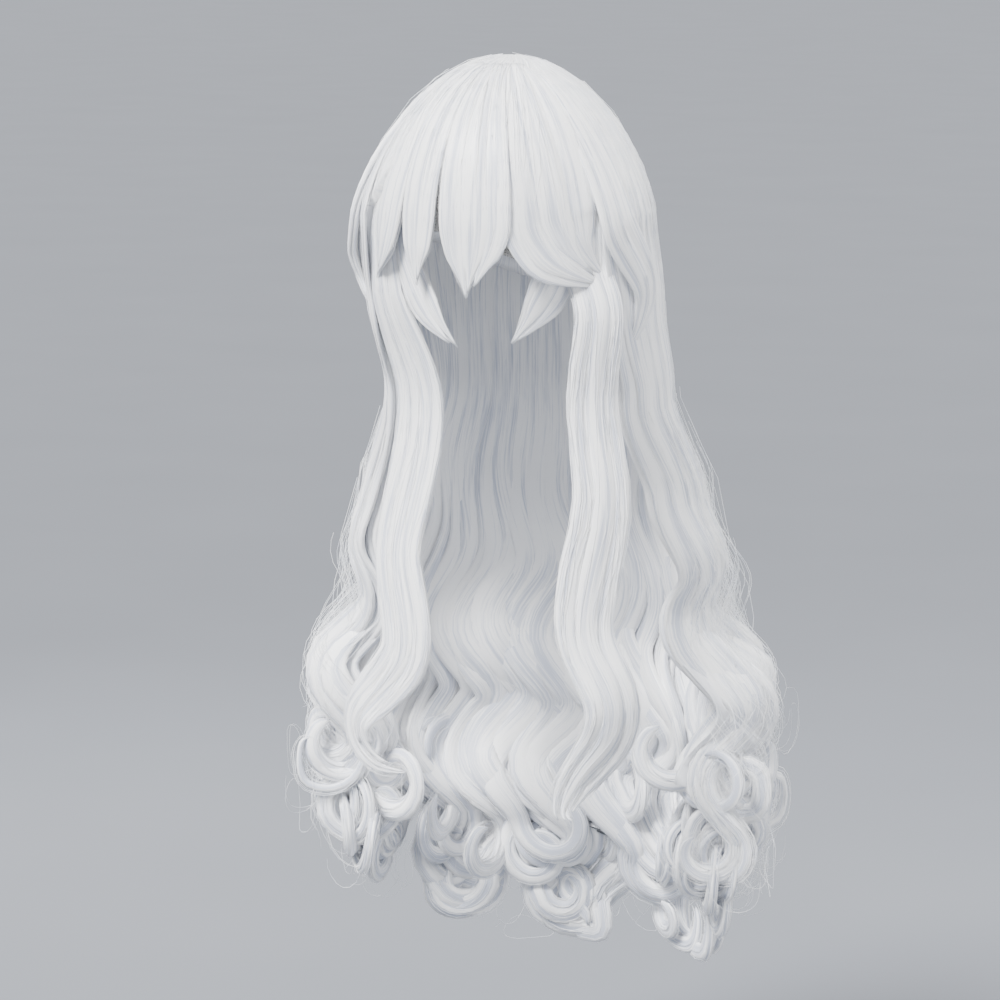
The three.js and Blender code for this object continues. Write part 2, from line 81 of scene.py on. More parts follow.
def read(rows, column, x):
    """Reads a table's column at x in its first column, with smooth steps between its rows."""
    table = np.array(rows, float)
    keys, values = table[:, 0], table[:, column]
    x = np.clip(np.asarray(x, float), keys[0], keys[-1])
    i = np.clip(np.searchsorted(keys, x, side="right") - 1, 0, len(keys) - 2)
    t = (x - keys[i]) / (keys[i + 1] - keys[i])
    return mix(values[i], values[i + 1], t * t * (3 - 2 * t))


def from_front(turn):
    whole = np.mod(turn, 360)
    return np.minimum(whole, 360 - whole)


def on_head(turn, polar, offset):
    """A point over the head, at this turn from the front and this angle from straight up."""
    t, p = np.radians(turn), np.radians(polar)
    x = (HEAD_WIDTH / 2 + offset) * np.sin(p) * np.sin(t)
    y = -(HEAD_LENGTH / 2 + offset) * np.sin(p) * np.cos(t)
    z = -CROWN_HEIGHT + (CROWN_HEIGHT + offset) * np.cos(p)
    return np.stack(np.broadcast_arrays(x, y, z), -1)


def off_head(turn, polar):
    """The direction away from the head there."""
    t, p = np.broadcast_arrays(np.radians(turn), np.radians(polar))
    return np.stack([np.sin(p) * np.sin(t), -np.sin(p) * np.cos(t), np.cos(p)], -1)


def linear(code):
    """An sRGB hex colour as a linear one."""
    parts = [int(code[i : i + 2], 16) / 255 for i in (0, 2, 4)]
    return (*(c / 12.92 if c <= 0.04045 else ((c + 0.055) / 1.055) ** 2.4 for c in parts), 1.0)


def add(tree, kind, inputs=None, **settings):
    """Adds a node with its settings. Each input is a value, or another node's output to link."""
    node = tree.nodes.new(kind)
    for name, value in settings.items():
        setattr(node, name, value)
    for name, value in (inputs or {}).items():
        if isinstance(value, bpy.types.NodeSocket):
            tree.links.new(value, node.inputs[name])
        else:
            node.inputs[name].default_value = value
    return node


def new_tree(name, **inputs):
    """A Geometry Nodes tree with a named socket for each input, and what those sockets give."""
    tree = bpy.data.node_groups.new(name, "GeometryNodeTree")
    for label, kind in {"Geometry": "Geometry", **inputs}.items():
        tree.interface.new_socket(label, in_out="INPUT", socket_type="NodeSocket" + kind)
    tree.interface.new_socket("Geometry", in_out="OUTPUT", socket_type="NodeSocketGeometry")
    return tree, add(tree, "NodeGroupInput").outputs


def new_material(name, **finish):
    """A material with its shader's own settings, its node tree and its shader."""
    material = bpy.data.materials.new(name)
    material.use_nodes = True
    surface = material.node_tree.nodes["Principled BSDF"]
    for setting, value in finish.items():
        surface.inputs[setting.replace("_", " ")].default_value = value
    return material, material.node_tree, surface


def paint(tree, surface, amount, stops):
    """Colours a surface by an amount, through stops of place and hex colour."""
    ramp = add(tree, "ShaderNodeValToRGB", {"Fac": amount})
    for element, (place, code) in zip(ramp.color_ramp.elements, stops):
        element.position, element.color = place, linear(code)
    tree.links.new(ramp.outputs["Color"], surface.inputs["Base Color"])


def emboss(tree, surface, height, strength, depth):
    """Gives a surface fine relief of this depth in millimetres."""
    relief = add(tree, "ShaderNodeBump", {"Height": height, "Strength": strength, "Distance": depth * MM})
    tree.links.new(relief.outputs["Normal"], surface.inputs["Normal"])


def net_material():
    """Knitted elastic net, matt and off-white: yarn round small open cells, which look darker."""
    finish = {"Roughness": 0.85, "Sheen_Weight": 0.2}
    material, tree, surface = new_material("polyester elastic net, knitted", **finish)
    place = add(tree, "ShaderNodeTexCoord").outputs["Object"]
    knit = {"Vector": place, "Scale": 1 / (NET_PITCH * MM), "Randomness": 0.35}
    cells = add(tree, "ShaderNodeTexVoronoi", knit, feature="DISTANCE_TO_EDGE").outputs["Distance"]
    paint(tree, surface, cells, [(0.1, "efece6"), (0.3, "a9a59d")])
    yarn = add(tree, "ShaderNodeMath", {0: 0.3, 1: cells}, operation="SUBTRACT", use_clamp=True).outputs[0]
    emboss(tree, surface, yarn, 0.8, 0.5)
    return material


def tape_material():
    """Woven polyester tape and thread, matt: a fine rib across it."""
    finish = {"Roughness": 0.75, "Sheen_Weight": 0.15}
    material, tree, surface = new_material("polyester tape and thread, woven", **finish)
    place = add(tree, "ShaderNodeUVMap", uv_map="Lay").outputs["UV"]
    weave = {"Vector": place, "Scale": 60.0, "Distortion": 1.5, "Detail": 1.0}
    ribs = add(tree, "ShaderNodeTexWave", weave, wave_type="BANDS", bands_direction="Y").outputs["Fac"]
    paint(tree, surface, ribs, [(0.1, "c9c6bf"), (0.9, "f4f2ee")])
    emboss(tree, surface, ribs, 0.5, 0.2)
    return material


# Length over which a strip's ridges turn by a radian, coarse and fine, and the coarse ones' share
RIDGE_DRIFT, FINE_DRIFT, COARSE = 60.0, 45.0, 0.6
# Depth from which a strip has its full ridges, where its end parts, how deep the partings are and how much
# painted shade darkens them
FULL_RIDGES, PARTS, PARTING, PARTED_SHADE = 6.0, (0.55, 0.95), 0.28, 0.6
# The widest that a strip may be, as a share of its bend's radius, and over how many points on each side
BEND_SHARE, BEND_POINTS = 1.7, 3
# What one unit of the map "Lay" covers, and one degree round the head
LAY, HEAD_DEGREE = 100.0, 1.9


def bend_room(points):
    """The widest that a strip along these points may be, before its inner side folds over in a bend."""
    along = np.gradient(points, axis=0)
    step = np.linalg.norm(along, axis=1)
    bend = np.linalg.norm(np.gradient(along / step[:, None], axis=0), axis=1) / step
    window = np.ones(2 * BEND_POINTS + 1) / (2 * BEND_POINTS + 1)
    calm = np.convolve(np.pad(bend, BEND_POINTS, mode="edge"), window, "valid")
    return BEND_SHARE / np.maximum(calm, 1e-4)


def put_in_scene(name, data):
    thing = bpy.data.objects.new(name, data)
    bpy.context.scene.collection.objects.link(thing)
    return thing


class Piece:
    """The mesh of one piece, made of closed skins, and the guides that its strands follow."""

    def __init__(self):
        self.points, self.faces, self.places, self.grooves, self.count = [], [], [], [], 0
        self.guides = []

    def add_rings(self, rings, uv, groove):
        """Closes rows of ring points into one skin, with a middle point at each end."""
        n, k = rings.shape[:2]
        self.points += [rings[0].mean(0)[None], rings.reshape(-1, 3), rings[-1].mean(0)[None]]
        first, last = self.count, self.count + n * k + 1
        i, j = np.meshgrid(np.arange(n - 1), np.arange(k), indexing="ij")
        around = np.arange(k)
        top, tail = 0 * around, 0 * around + n - 1

        def point(i, j):
            return first + 1 + i * k + j % k

        def place(i, j):
            return np.stack([uv[0][i, j], uv[1][i, np.minimum(j, k - 1)]], -1)

        def add_faces(corners, places):
            self.faces += np.stack(corners, -1).reshape(-1, len(corners)).tolist()
            self.places.append(np.stack(places, -2).reshape(-1, 2))

        square = [(i, j), (i, j + 1), (i + 1, j + 1), (i + 1, j)]
        add_faces([point(*c) for c in square], [place(*c) for c in square])
        near = [(top, around), (top, around + 1), (top, around)]
        add_faces([top + first, point(*near[1]), point(*near[2])], [place(*c) for c in near])
        far = [(tail, around), (tail, around), (tail, around + 1)]
        add_faces([top + last, point(*far[1]), point(*far[2])], [place(*c) for c in far])
        self.grooves += [groove[0].mean()[None], groove.reshape(-1), groove[-1].mean()[None]]
        self.count += n * k + 2

    def add_lock(
        self, points, out, width, depth, sides, ridge, ridges=4,
        phase=0, parted=0, strands=(), loose=0, fan=2,
    ):
        """A strip with a ridged oval section along points, which parts more towards its end.

        strands holds pairs: the point where some strands start, and how many do.
        They all go on past the strip's end, over the loose points.
        """
        along = np.gradient(points, axis=0)
        step = np.linalg.norm(along, axis=1)
        along = along / step[:, None]
        side = np.cross(along, np.broadcast_to(out, points.shape))
        side /= np.linalg.norm(side, axis=1)[:, None]
        rise = np.cross(side, along)
        width = np.minimum(width, bend_room(points))
        length = np.cumsum(step)
        a = np.linspace(0, 2 * math.pi, sides + 1)
        coarse = np.cos(ridges * a[None, :sides] + phase + length[:, None] / RIDGE_DRIFT)
        fine = np.cos((2 * ridges + 1) * a[None, :sides] - 2 * phase - length[:, None] / FINE_DRIFT)
        wobble = COARSE * coarse + (1 - COARSE) * fine
        parting = parted * ease(np.linspace(0, 1, len(points)), *PARTS)[:, None]
        size = 1 + (ridge + parting * PARTING) * wobble * np.minimum(1, depth / FULL_RIDGES)[:, None]
        # The hollows between the ridges, and more so the parted end, are painted darker: painted shade
        shade = wobble * (1 + parting) - PARTED_SHADE * parting
        x, y = np.cos(a[:sides]), np.sin(a[:sides])
        rings = (
            points[:, None]
            + side[:, None] * (x * size * width[:, None] / 2)[..., None]
            + rise[:, None] * (y * size * depth[:, None] / 2)[..., None]
        )
        around = np.broadcast_to(a * (width.max() + depth.max()) / 4 / LAY, (len(points), sides + 1))
        down = np.broadcast_to(length[:, None] / LAY, (len(points), sides))
        body = slice(0, len(points) - loose)
        self.add_rings(rings[body], (around[body] + phase, down[body]), shade[body])
        spread, lift = np.maximum(width, fan) / 2, np.maximum(depth, fan / 2) / 2
        guide = (points, side * spread[:, None], rise * lift[:, None])
        self.guides += [(*(rows[first:] for rows in guide), amount) for first, amount in strands if amount]

    def mesh(self, name, material, slot, *nodes):
        """Writes the piece, which rides on the wig's one body and stands for these nodes of the frame."""
        made = bpy.data.meshes.new(name)
        made.from_pydata((np.concatenate(self.points) * MM).tolist(), [], self.faces)
        layer = made.uv_layers.new(name="Lay")
        layer.data.foreach_set("uv", np.concatenate(self.places).astype(np.float32).ravel())
        # Each point's painted shade, which the fibre materials read
        groove = made.attributes.new("groove", "FLOAT", "POINT")
        values = np.concatenate([np.atleast_1d(g) for g in self.grooves])
        groove.data.foreach_set("value", values.astype(np.float32))
        made.shade_smooth()
        made.materials.append(material)
        piece = put_in_scene(name, made)
        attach(piece, "root")
        if nodes:
            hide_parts(*nodes)


def add_shell(piece, polar, outer, inner, twist=0, grooves=0):
    """A hollow shell over the head between two offsets, down to the rim, with a rounded edge."""
    turns = np.linspace(0, 360, polar.shape[1], endpoint=False)[None] + twist
    edge = on_head(turns[-1:], polar[-1:] + TAPE_ROUND, (outer[-1:] + inner[-1:]) / 2)
    rings = np.concatenate([on_head(turns, polar, outer), edge, on_head(turns, polar, inner)[::-1]])
    u = np.linspace(0, 360, polar.shape[1] + 1) * HEAD_DEGREE / LAY
    v = np.concatenate([polar, polar[-1:] + TAPE_ROUND, polar[::-1]]) * HEAD_DEGREE / LAY
    # The outer side carries the painted shade that is given; the rounded edge and the inner side get none
    groove = np.concatenate([grooves + 0 * outer, 0 * outer[-1:], 0 * inner])
    piece.add_rings(rings[:, ::-1], (np.broadcast_to(u[::-1], (len(rings), len(u))), v[:, ::-1]), groove)


def stitch_tree():
    """Geometry Nodes that lay short stitches along each line, a little askew."""
    sizes = {"Pitch": "Float", "Length": "Float", "Thickness": "Float"}
    tree, given = new_tree("Stitches along a row", **sizes, Seed="Int", Material="Material")
    curves = add(tree, "GeometryNodeMeshToCurve", {"Mesh": given["Geometry"]}).outputs[0]
    spaced = {"Curve": curves, "Length": given["Pitch"]}
    places = add(tree, "GeometryNodeResampleCurve", spaced, mode="LENGTH").outputs[0]
    tangent = add(tree, "GeometryNodeInputTangent").outputs[0]
    reach = {0: (-ASKEW, -ASKEW, -ASKEW), 1: (ASKEW, ASKEW, ASKEW), "Seed": given["Seed"]}
    askew = add(tree, "FunctionNodeRandomValue", reach, data_type="FLOAT_VECTOR").outputs[0]
    lean = add(tree, "ShaderNodeVectorMath", {0: tangent, 1: askew}, operation="ADD").outputs[0]
    turned = add(tree, "FunctionNodeAlignRotationToVector", {"Vector": lean}, axis="Z").outputs[0]
    form = {"Vertices": 5, "Radius": given["Thickness"], "Depth": given["Length"]}
    stitch = add(tree, "GeometryNodeMeshCylinder", form).outputs[0]
    copies = {"Points": places, "Instance": stitch, "Rotation": turned}
    row = add(tree, "GeometryNodeInstanceOnPoints", copies).outputs[0]
    real = add(tree, "GeometryNodeRealizeInstances", {"Geometry": row}).outputs[0]
    worn = {"Geometry": real, "Material": given["Material"]}
    sewn = add(tree, "GeometryNodeSetMaterial", worn).outputs[0]
    add(tree, "NodeGroupOutput", {"Geometry": sewn})
    return tree


def from_guides(name, guides, tree, values):
    """Runs a tree on guide lines, each with its side, rise and share, and makes the result a piece."""
    points, edges, start = [], [], 0
    for line, *_ in guides:
        points.append(line)
        edges += [(start + i, start + i + 1) for i in range(len(line) - 1)]
        start += len(line)
    made = bpy.data.meshes.new(name)
    made.from_pydata((np.concatenate(points) * MM).tolist(), edges, [])
    for column, attribute in ((1, "side"), (2, "rise")):
        rows = made.attributes.new(attribute, "FLOAT_VECTOR", "POINT")
        spread = np.concatenate([guide[column] for guide in guides]) * MM
        rows.data.foreach_set("vector", spread.astype(np.float32).ravel())
    amount = made.attributes.new("share", "FLOAT", "POINT")
    shares = np.concatenate([np.full(len(guide[0]), guide[3]) for guide in guides])
    amount.data.foreach_set("value", shares.astype(np.float32))
    piece = put_in_scene(name, made)
    modifier = piece.modifiers.new(tree.name, "NODES")
    modifier.node_group = tree
    for item in tree.interface.items_tree:
        if item.in_out == "INPUT" and item.name in values:
            modifier[item.identifier] = values[item.name]
    result = bpy.data.meshes.new_from_object(piece.evaluated_get(bpy.context.evaluated_depsgraph_get()))
    piece.modifiers.remove(modifier)
    piece.data = result
    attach(piece, "root")


net = net_material()
tape = tape_material()
cap_turns = np.linspace(0, 360, CAP_COLUMNS, endpoint=False)
cap_rim = read(RIM_ROWS, 1, from_front(cap_turns))
cap_polar = cap_rim[None] * ((np.arange(CAP_ROWS) + 1) / CAP_ROWS)[:, None]
to_edge = np.radians(cap_rim[None] - cap_polar) * HEAD_WIDTH / 2
cap = Piece()
cap_inner = -TAPE_RISE * (1 - ease(to_edge, TAPE_WIDTH - 1, TAPE_WIDTH))
add_shell(cap, cap_polar, np.full(cap_polar.shape, CAP_WALL), cap_inner)
cap.mesh("cap_stretch_net", net, "cap_net", "wig_cap")

wefts, stitch_lines = Piece(), []
rim_turns, rim_polars = np.array(RIM_ROWS).T
for polar in range(WEFT_FIRST, int(rim_polars[-1]) - WEFT_MARGIN, WEFT_STEP):
    start = np.interp(polar + WEFT_MARGIN, rim_polars, rim_turns)
    first, last = (180, 540) if start == 0 else (start, 360 - start)
    turns = np.linspace(first, last, WEFT_POINTS)
    line = on_head(turns, polar, -WEFT_RISE / 2)
    inwards = -off_head(turns, polar)
    size = np.ones(WEFT_POINTS)
    wefts.add_lock(line, inwards, WEFT_WIDTH * size, WEFT_RISE * size, sides=6, ridge=0)
    stitch_lines.append((line + inwards * WEFT_RISE / 2, 0 * line, 0 * line, 1))
wefts.mesh("cap_weft_rows", tape, "cap_net")
stitch_values = {
    "Pitch": STITCH_PITCH * MM,
    "Length": STITCH_LENGTH * MM,
    "Thickness": STITCH_THICKNESS / 2 * MM,
    "Seed": 5,
    "Material": tape,
}
from_guides("cap_stitches", stitch_lines, stitch_tree(), stitch_values)

# The crown hair: short rows of hair sewn close to the cap, which lift the locks off the head.
# At the whorl it comes through them, and all the hair is combed out from there in fine streaks.
# Hair fibre is straight-drawn modacrylic filament, white, smooth and silky, with a soft sheen along it.
CROWN_HAIR, FRONT_HAIR, SIDE_HAIR = 17.0, 19.0, 38.0
WIDEST_POLAR, FILL_POWER = 90.0, 1.5
CROWN_COLUMNS, CROWN_ROWS, ROW_POWER, CROWN_GAP, CROWN_STREAK = 216, 26, 1.2, 0.3, 0.3
WHORL_TWIST, WHORL_POLAR = 26, 26
# How deep the crown hair lies under the locks: at the whorl, round it, and how much deeper past the temples
COVER_WHORL, COVER_ROUND, COVER_BEHIND = 0.2, 1.5, 1.2
FIBRE_WIDTH, STREAK_LENGTH = 1.5, 70.0  # drawn wider than a filament of 0.08 mm, which no render would show
GROOVE_SHARE = 0.22  # how much the painted shade of the hollows and partings darkens the fibre
rng = np.random.default_rng(11)


def thickness(turn, polar):
    """How thick the hair is over the head."""
    full = mix(FRONT_HAIR, SIDE_HAIR, ease(from_front(turn), 34, 74))
    share = (1 - np.cos(np.radians(np.minimum(polar, WIDEST_POLAR)))) ** FILL_POWER
    return mix(CROWN_HAIR, full, share)


def fibre_material(name, light, shade, relief):
    """Combed white fibre: streaks along it, and painted shade, a cool grey, in its hollows."""
    finish = {"Roughness": 0.44, "IOR": 1.5, "Anisotropic": 0.5, "Sheen_Weight": 0.15}
    material, tree, surface = new_material(name, **finish)
    place = add(tree, "ShaderNodeUVMap", uv_map="Lay").outputs["UV"]
    scale = (LAY / FIBRE_WIDTH, LAY / STREAK_LENGTH, 1)
    along = add(tree, "ShaderNodeMapping", {"Vector": place, "Scale": scale}).outputs["Vector"]
    grain = {"Vector": along, "Scale": 1.0, "Detail": 3.0, "Roughness": 0.65}
    fine = add(tree, "ShaderNodeTexNoise", grain).outputs["Fac"]
    groove = add(tree, "ShaderNodeAttribute", attribute_name="groove").outputs["Fac"]
    both = {0: groove, 1: GROOVE_SHARE, 2: fine}
    amount = add(tree, "ShaderNodeMath", both, operation="MULTIPLY_ADD").outputs["Value"]
    paint(tree, surface, amount, [(0.3, shade), (0.55, light)])
    emboss(tree, surface, fine, relief, 0.5)
    across = add(tree, "ShaderNodeTangent", direction_type="UV_MAP", uv_map="Lay")
    tree.links.new(across.outputs["Tangent"], surface.inputs["Tangent"])
    return material


lock_fibre = fibre_material("modacrylic hair fibre, combed in locks", "ffffff", "c9cedb", 0.6)
# The same fibre under the locks, its whites painted a touch greyer as painted shade and its streaks softer
shaded_under_fibre = fibre_material("modacrylic hair fibre, under the locks", "f5f6f9", "dde0e6", 0.4)

crown = Piece()
crown_turns = np.linspace(0, 360, CROWN_COLUMNS, endpoint=False)
crown_rim = read(RIM_ROWS, 1, from_front(crown_turns))
crown_polar = crown_rim[None] * ((np.arange(CROWN_ROWS) + 1) / CROWN_ROWS)[:, None] ** ROW_POWER
streak = np.convolve(np.tile(rng.normal(0, CROWN_STREAK, CROWN_COLUMNS), 3), [0.25, 0.5, 0.25], "same")
streak = streak[CROWN_COLUMNS : 2 * CROWN_COLUMNS][None] * ease(crown_polar, 3, 16)
behind = ease(from_front(crown_turns), 60, 70)[None]
cover = mix(COVER_WHORL, COVER_ROUND, ease(crown_polar, 10, 22))
cover = cover + COVER_BEHIND * behind * ease(crown_polar, 14, 24)
add_shell(
    crown,
    crown_polar,
    thickness(crown_turns[None], crown_polar) - cover + streak,
    np.full(crown_polar.shape, CAP_WALL + CROWN_GAP),
    WHORL_TWIST * (1 - ease(crown_polar, 0, WHORL_POLAR)),
    # painted shade on the lower streaks and painted light on the raised ones
    streak / CROWN_STREAK / 2,
)
crown.mesh("crown_hair_combed", lock_fibre, "hair_fibre", "crown_hair")

# The long hair: locks combed from the whorl over the sides and the back, which wave from the neck down.
# A lock is two bands of bundles, heat-set on rollers so that each rolls up, with shorter curls between.
# Under them lies a layer of shorter hair, which closes the wig between its locks.
DROP, SPREAD_SIDE, SPREAD_BACK, HANG_BACK = 742.0, 184.0, 78.0, 82.0
WAVE_START, WAVE_FULL, WAVE_PITCH, CURL_PITCH = 250.0, 540.0, 150.0, 100.0
SWAY, SWELL_SHARE, CURL_RADIUS = 19.0, 0.45, 27.0
ROOT_POLAR, TUCK = 14.0, 9.0
# Share of the drop, share of the spread, share of the way that the hair hangs back
FALL_ROWS = [
    (0.14, 0, 0),
    (0.24, 0.06, 0.2),
    (0.34, 0.12, 0.5),
    (0.45, 0.44, 0.82),
    (0.56, 0.68, 0.95),
    (0.68, 1, 1),
    (0.86, 0.92, 1),
    (1, 0.6, 1),
]
# Turn from the front, share of the drop where the hair ends, lean of its sway, phase of its waves
MANE_ROWS = [
    (62, 0.9, 80, 0.36),
    (90, 0.93, 64, 0.38),
    (116, 0.955, 30, 0.46),
    (150, 1.02, 8, 0.56),
    (180, 1.02, 0, 0.64),
    (210, 1.02, -8, 0.72),
    (244, 0.965, -30, 0.84),
    (270, 0.92, -64, 0.9),
    (298, 0.9, -80, 0.92),
]
# Turns from the front where the hair round the face ends, the long hair starts, and the back hair starts
FACE_TURN, MANE_FRONT, MANE_BACK = 62, 64, 114
# What one degree round the long hair covers in the map "Lay"
MANE_DEGREE = 2.6
# Where the long hair of a piece starts and ends, and how many turns each of its locks curls, and which way
MANES = {
    "side_hair_left": (MANE_FRONT, MANE_BACK, [-0.8, -0.95, -0.85]),
    "side_hair_right": (360 - MANE_BACK, 360 - MANE_FRONT, [0.9, 1.0, 0.85]),
    "back_hair": (MANE_BACK, 360 - MANE_BACK, [-0.9, -0.8, 0.9, -0.95, 0.8, -0.85, 0.95]),
}
# Share of the drop, depth of the whole layer, relief of the locks on it, thickness of a bundle
MANE_DEPTHS = [
    (0.02, 9, 0.4, 2.4),
    (0.14, 9, 2.0, 3.2),
    (0.24, 15, 2.5, 5.0),
    (0.45, 22, 5.0, 8.0),
    (0.68, 26, 9.0, 10.5),
    (1, 25, 9.0, 13.0),
]
# Distance from the end of a bundle, and its width and depth there, as shares of its own
TIP_ROWS = [(0, 0.08, 0.1), (10, 0.28, 0.36), (40, 0.42, 0.62), (110, 0.5, 0.8), (190, 0.8, 1), (250, 1, 1)]
# One bundle of a lock: place across it, outer (0) or inner (1) side, width, end, long strands, curl strands
BUNDLES = [
    (0.0, 0, 0.84, 1.0, 8, 18),
    (-0.58, 0, 0.8, 0.985, 7, 16),
    (0.58, 0, 0.8, 0.975, 7, 16),
    (0.05, 1, 0.7, 0.93, 1, 6),
    (-0.6, 1, 0.66, 0.915, 1, 6),
    (0.66, 1, 0.66, 0.925, 1, 6),
]
# A curl that starts inside a lock near its end: place across it, place through it, start, end, curl, radius
CURLS = [
    (-0.28, 0.2, 0.56, 0.87, -1.0, 1.05),
    (0.3, 0.15, 0.6, 0.97, 1.1, 0.9),
    (0.72, 0.6, 0.62, 0.92, 0.95, 1.1),
]
CURL_WIDTH, CURL_DEPTH, CURL_STRANDS = 38.0, 13.0, 20
# Points of a lock over the head, in its curl and past its tip, and the spacing of those between
OVER_STEPS, HOOK_STEPS, LOOSE_STEPS, STATION_SPACING = 13, 18, 4, 9.0
# How high above its lock's end a curl starts, in radii, how much it tightens, and how high its ridges are
CURL_RISE, SPIRAL, CURL_RIDGE = 1.3, 0.5, 0.035
# Length over which bundles gather into a band, how far apart they lie in it, and how far they turn outwards
GATHER, BAND_STEP, FACED = 180.0, 10.0, 0.8
# How far a bundle strays from the wave of its lock, and the least and greatest length of that
WANDER, WANDER_LENGTH = 5.0, (60, 95)
# Points at a bundle's end that extra strands follow, and how wide they spread there
CURL_POINTS, FAN = 28, 16.0
# How much wider bundles are over the head, how deep they lie at a lock's edge, and where inner ones start
TOP_OVERLAP, EDGE_SINK, INNER_START = 1.15, 4, 0.17
# How far hair may stand proud of the frame, over how much of that it is held back, and the room for a curl
PROUD, HOLD, CURL_MARGIN = np.array([18.0, 16.0, 26.0]), 12.0, 18.0
# The widest that a lock may be, and the seeds of the strands down and over the head
LOCK_WIDEST, MANE_SEED, TOP_SEED = 54.0, 40, 3


def on_hair(turn, level, depth):
    """A point on the hair, moved in by depth. Up to level 1 it lies over the head, and past 1 it falls."""
    turn, level, depth = np.broadcast_arrays(*(np.asarray(v, float) for v in (turn, level, depth)))
    polar = WIDEST_POLAR * np.minimum(level, 1)
    hair = thickness(turn, polar)
    drop = CROWN_HEIGHT * level / DROP
    behind = ease(from_front(turn), 44, 68)
    spread, back = read(FALL_ROWS, 1, drop) * behind, read(FALL_ROWS, 2, drop) * behind
    tucked = TUCK * ease(drop, 0.2, 0.33) * (1 - ease(drop, 0.36, 0.46)) * ease(np.mod(turn, 360), 210, 250)
    side = mix(HEAD_WIDTH / 2 + hair, SPREAD_SIDE, spread) - depth - tucked * behind
    deep = mix(HEAD_LENGTH / 2 + hair, SPREAD_BACK, back) - depth
    t = np.radians(turn)
    fall = np.stack([side * np.sin(t), HANG_BACK * back - deep * np.cos(t), -CROWN_HEIGHT * level], -1)
    return np.where((level <= 1)[..., None], on_head(turn, polar, hair - depth), fall)


def outward(turn, level):
    return off_head(np.asarray(turn, float), WIDEST_POLAR * np.minimum(np.asarray(level, float), 1))


def sideways(turn):
    t = np.radians(np.asarray(turn, float))
    return np.stack([np.cos(t), np.sin(t), 0 * t], -1)


def in_mane(turn, down, depth, shift=0.0, swing=1.0):
    """A point in the long hair, swayed by its waves. shift moves them along and swing makes them larger."""
    turn, down, depth = np.broadcast_arrays(*(np.asarray(v, float) for v in (turn, down, depth)))
    whole = DROP - WAVE_START
    pitch = mix(WAVE_PITCH, CURL_PITCH, np.clip((down - WAVE_START) / whole, 0, 1))
    waves = whole / (CURL_PITCH - WAVE_PITCH) * np.log(pitch / WAVE_PITCH)
    phase = 2 * math.pi * (waves + read(MANE_ROWS, 3, turn) + shift)
    size = SWAY * ease(down, WAVE_START, WAVE_FULL) * swing
    sway, swell = size * np.sin(phase), size * SWELL_SHARE * np.cos(phase)
    lean = np.radians(read(MANE_ROWS, 2, turn))
    across = (sway * np.cos(lean) - swell * np.sin(lean))[..., None] * sideways(turn)
    out = (sway * np.sin(lean) + swell * np.cos(lean))[..., None] * outward(turn, 1)
    return on_hair(turn, down / CROWN_HEIGHT, depth) + across + out


def held_in(points, margin):
    """Brings points softly back within the frame's reach, less a margin for what lies round them."""
    low, high = (np.array(corner) / MM for corner in cad_box)
    middle, reach = (low + high) / 2, (high - low) / 2 + PROUD - margin
    away = points - middle
    over = np.maximum(np.abs(away) - reach + HOLD, 0)
    held = np.minimum(np.abs(away), reach - HOLD) + HOLD * (1 - np.exp(-over / HOLD))
    return middle + np.sign(away) * held


def mane_path(turn, depth, stop, hook, radius, drift, veer, shift, swing, margin, start=0, gather=(0, 0)):
    """The line of one bundle, which falls down to stop, curls, and goes on past its tip.

    Gives its points, the length left up to the tip, the drop, and the way that its broad side faces.
    """
    over = CROWN_HEIGHT * np.linspace(ROOT_POLAR, WIDEST_POLAR, OVER_STEPS)[:-1] / WIDEST_POLAR
    below = np.linspace(CROWN_HEIGHT, stop, int((stop - CROWN_HEIGHT) / STATION_SPACING))
    downs = np.concatenate([over, below])
    downs = downs[downs >= start * DROP]
    lean = np.radians(float(read(MANE_ROWS, 2, turn)) + veer)
    out, beside = outward(turn, 1), sideways(turn)
    aside = beside * math.cos(lean) + out * math.sin(lean)
    wander = np.sin(downs / rng.uniform(*WANDER_LENGTH) + rng.uniform(0, 6))
    wander = WANDER * ease(downs / DROP, 0.3, 0.6) * wander
    gathered = ease(downs, stop - GATHER, stop)[:, None] * (gather[0] * beside + gather[1] * aside)
    line = in_mane(turn, downs, depth(downs / DROP), shift, swing) + wander[:, None] * beside + gathered
    fall = line[-1] - line[-2]
    fall /= np.linalg.norm(fall)
    heading = math.atan2(fall @ aside, -fall[2])
    bend = (2 * math.pi * hook - heading) / HOOK_STEPS
    place, curl = line[-1], []
    for i in range(HOOK_STEPS + LOOSE_STEPS):
        angle = heading + bend * (i + 1)
        step = radius * abs(bend) * (1 - SPIRAL * i / HOOK_STEPS)
        place = place + aside * step * math.sin(angle) + np.array([0, 0, -step * math.cos(angle)])
        place = place + out * drift / HOOK_STEPS
        curl.append(place)
    points = held_in(np.concatenate([line, curl]), margin)
    run = np.concatenate([[0], np.cumsum(np.linalg.norm(np.diff(points, axis=0), axis=1))])
    downs = np.concatenate([downs, np.full(len(curl), stop)])
    faced = FACED * lean * ease(downs / DROP, 0.5, 0.8)[:, None]
    face = outward(turn, downs / CROWN_HEIGHT) * np.cos(faced) - beside * np.sin(faced)
    return points, run[-1 - LOOSE_STEPS] - run, downs, face


def lay_outer(drop):
    """How deep a bundle's middle lies on the outer side."""
    return np.interp(drop, [0.02, 0.2, 0.45, 0.68], [1.8, 2.6, 5.5, 6.5])


def lay_inner(drop):
    return read(MANE_DEPTHS, 1, drop) - read(MANE_DEPTHS, 3, drop) / 2 - 0.5


def lay_between(share):
    return lambda drop: mix(lay_outer(drop), lay_inner(drop), share)


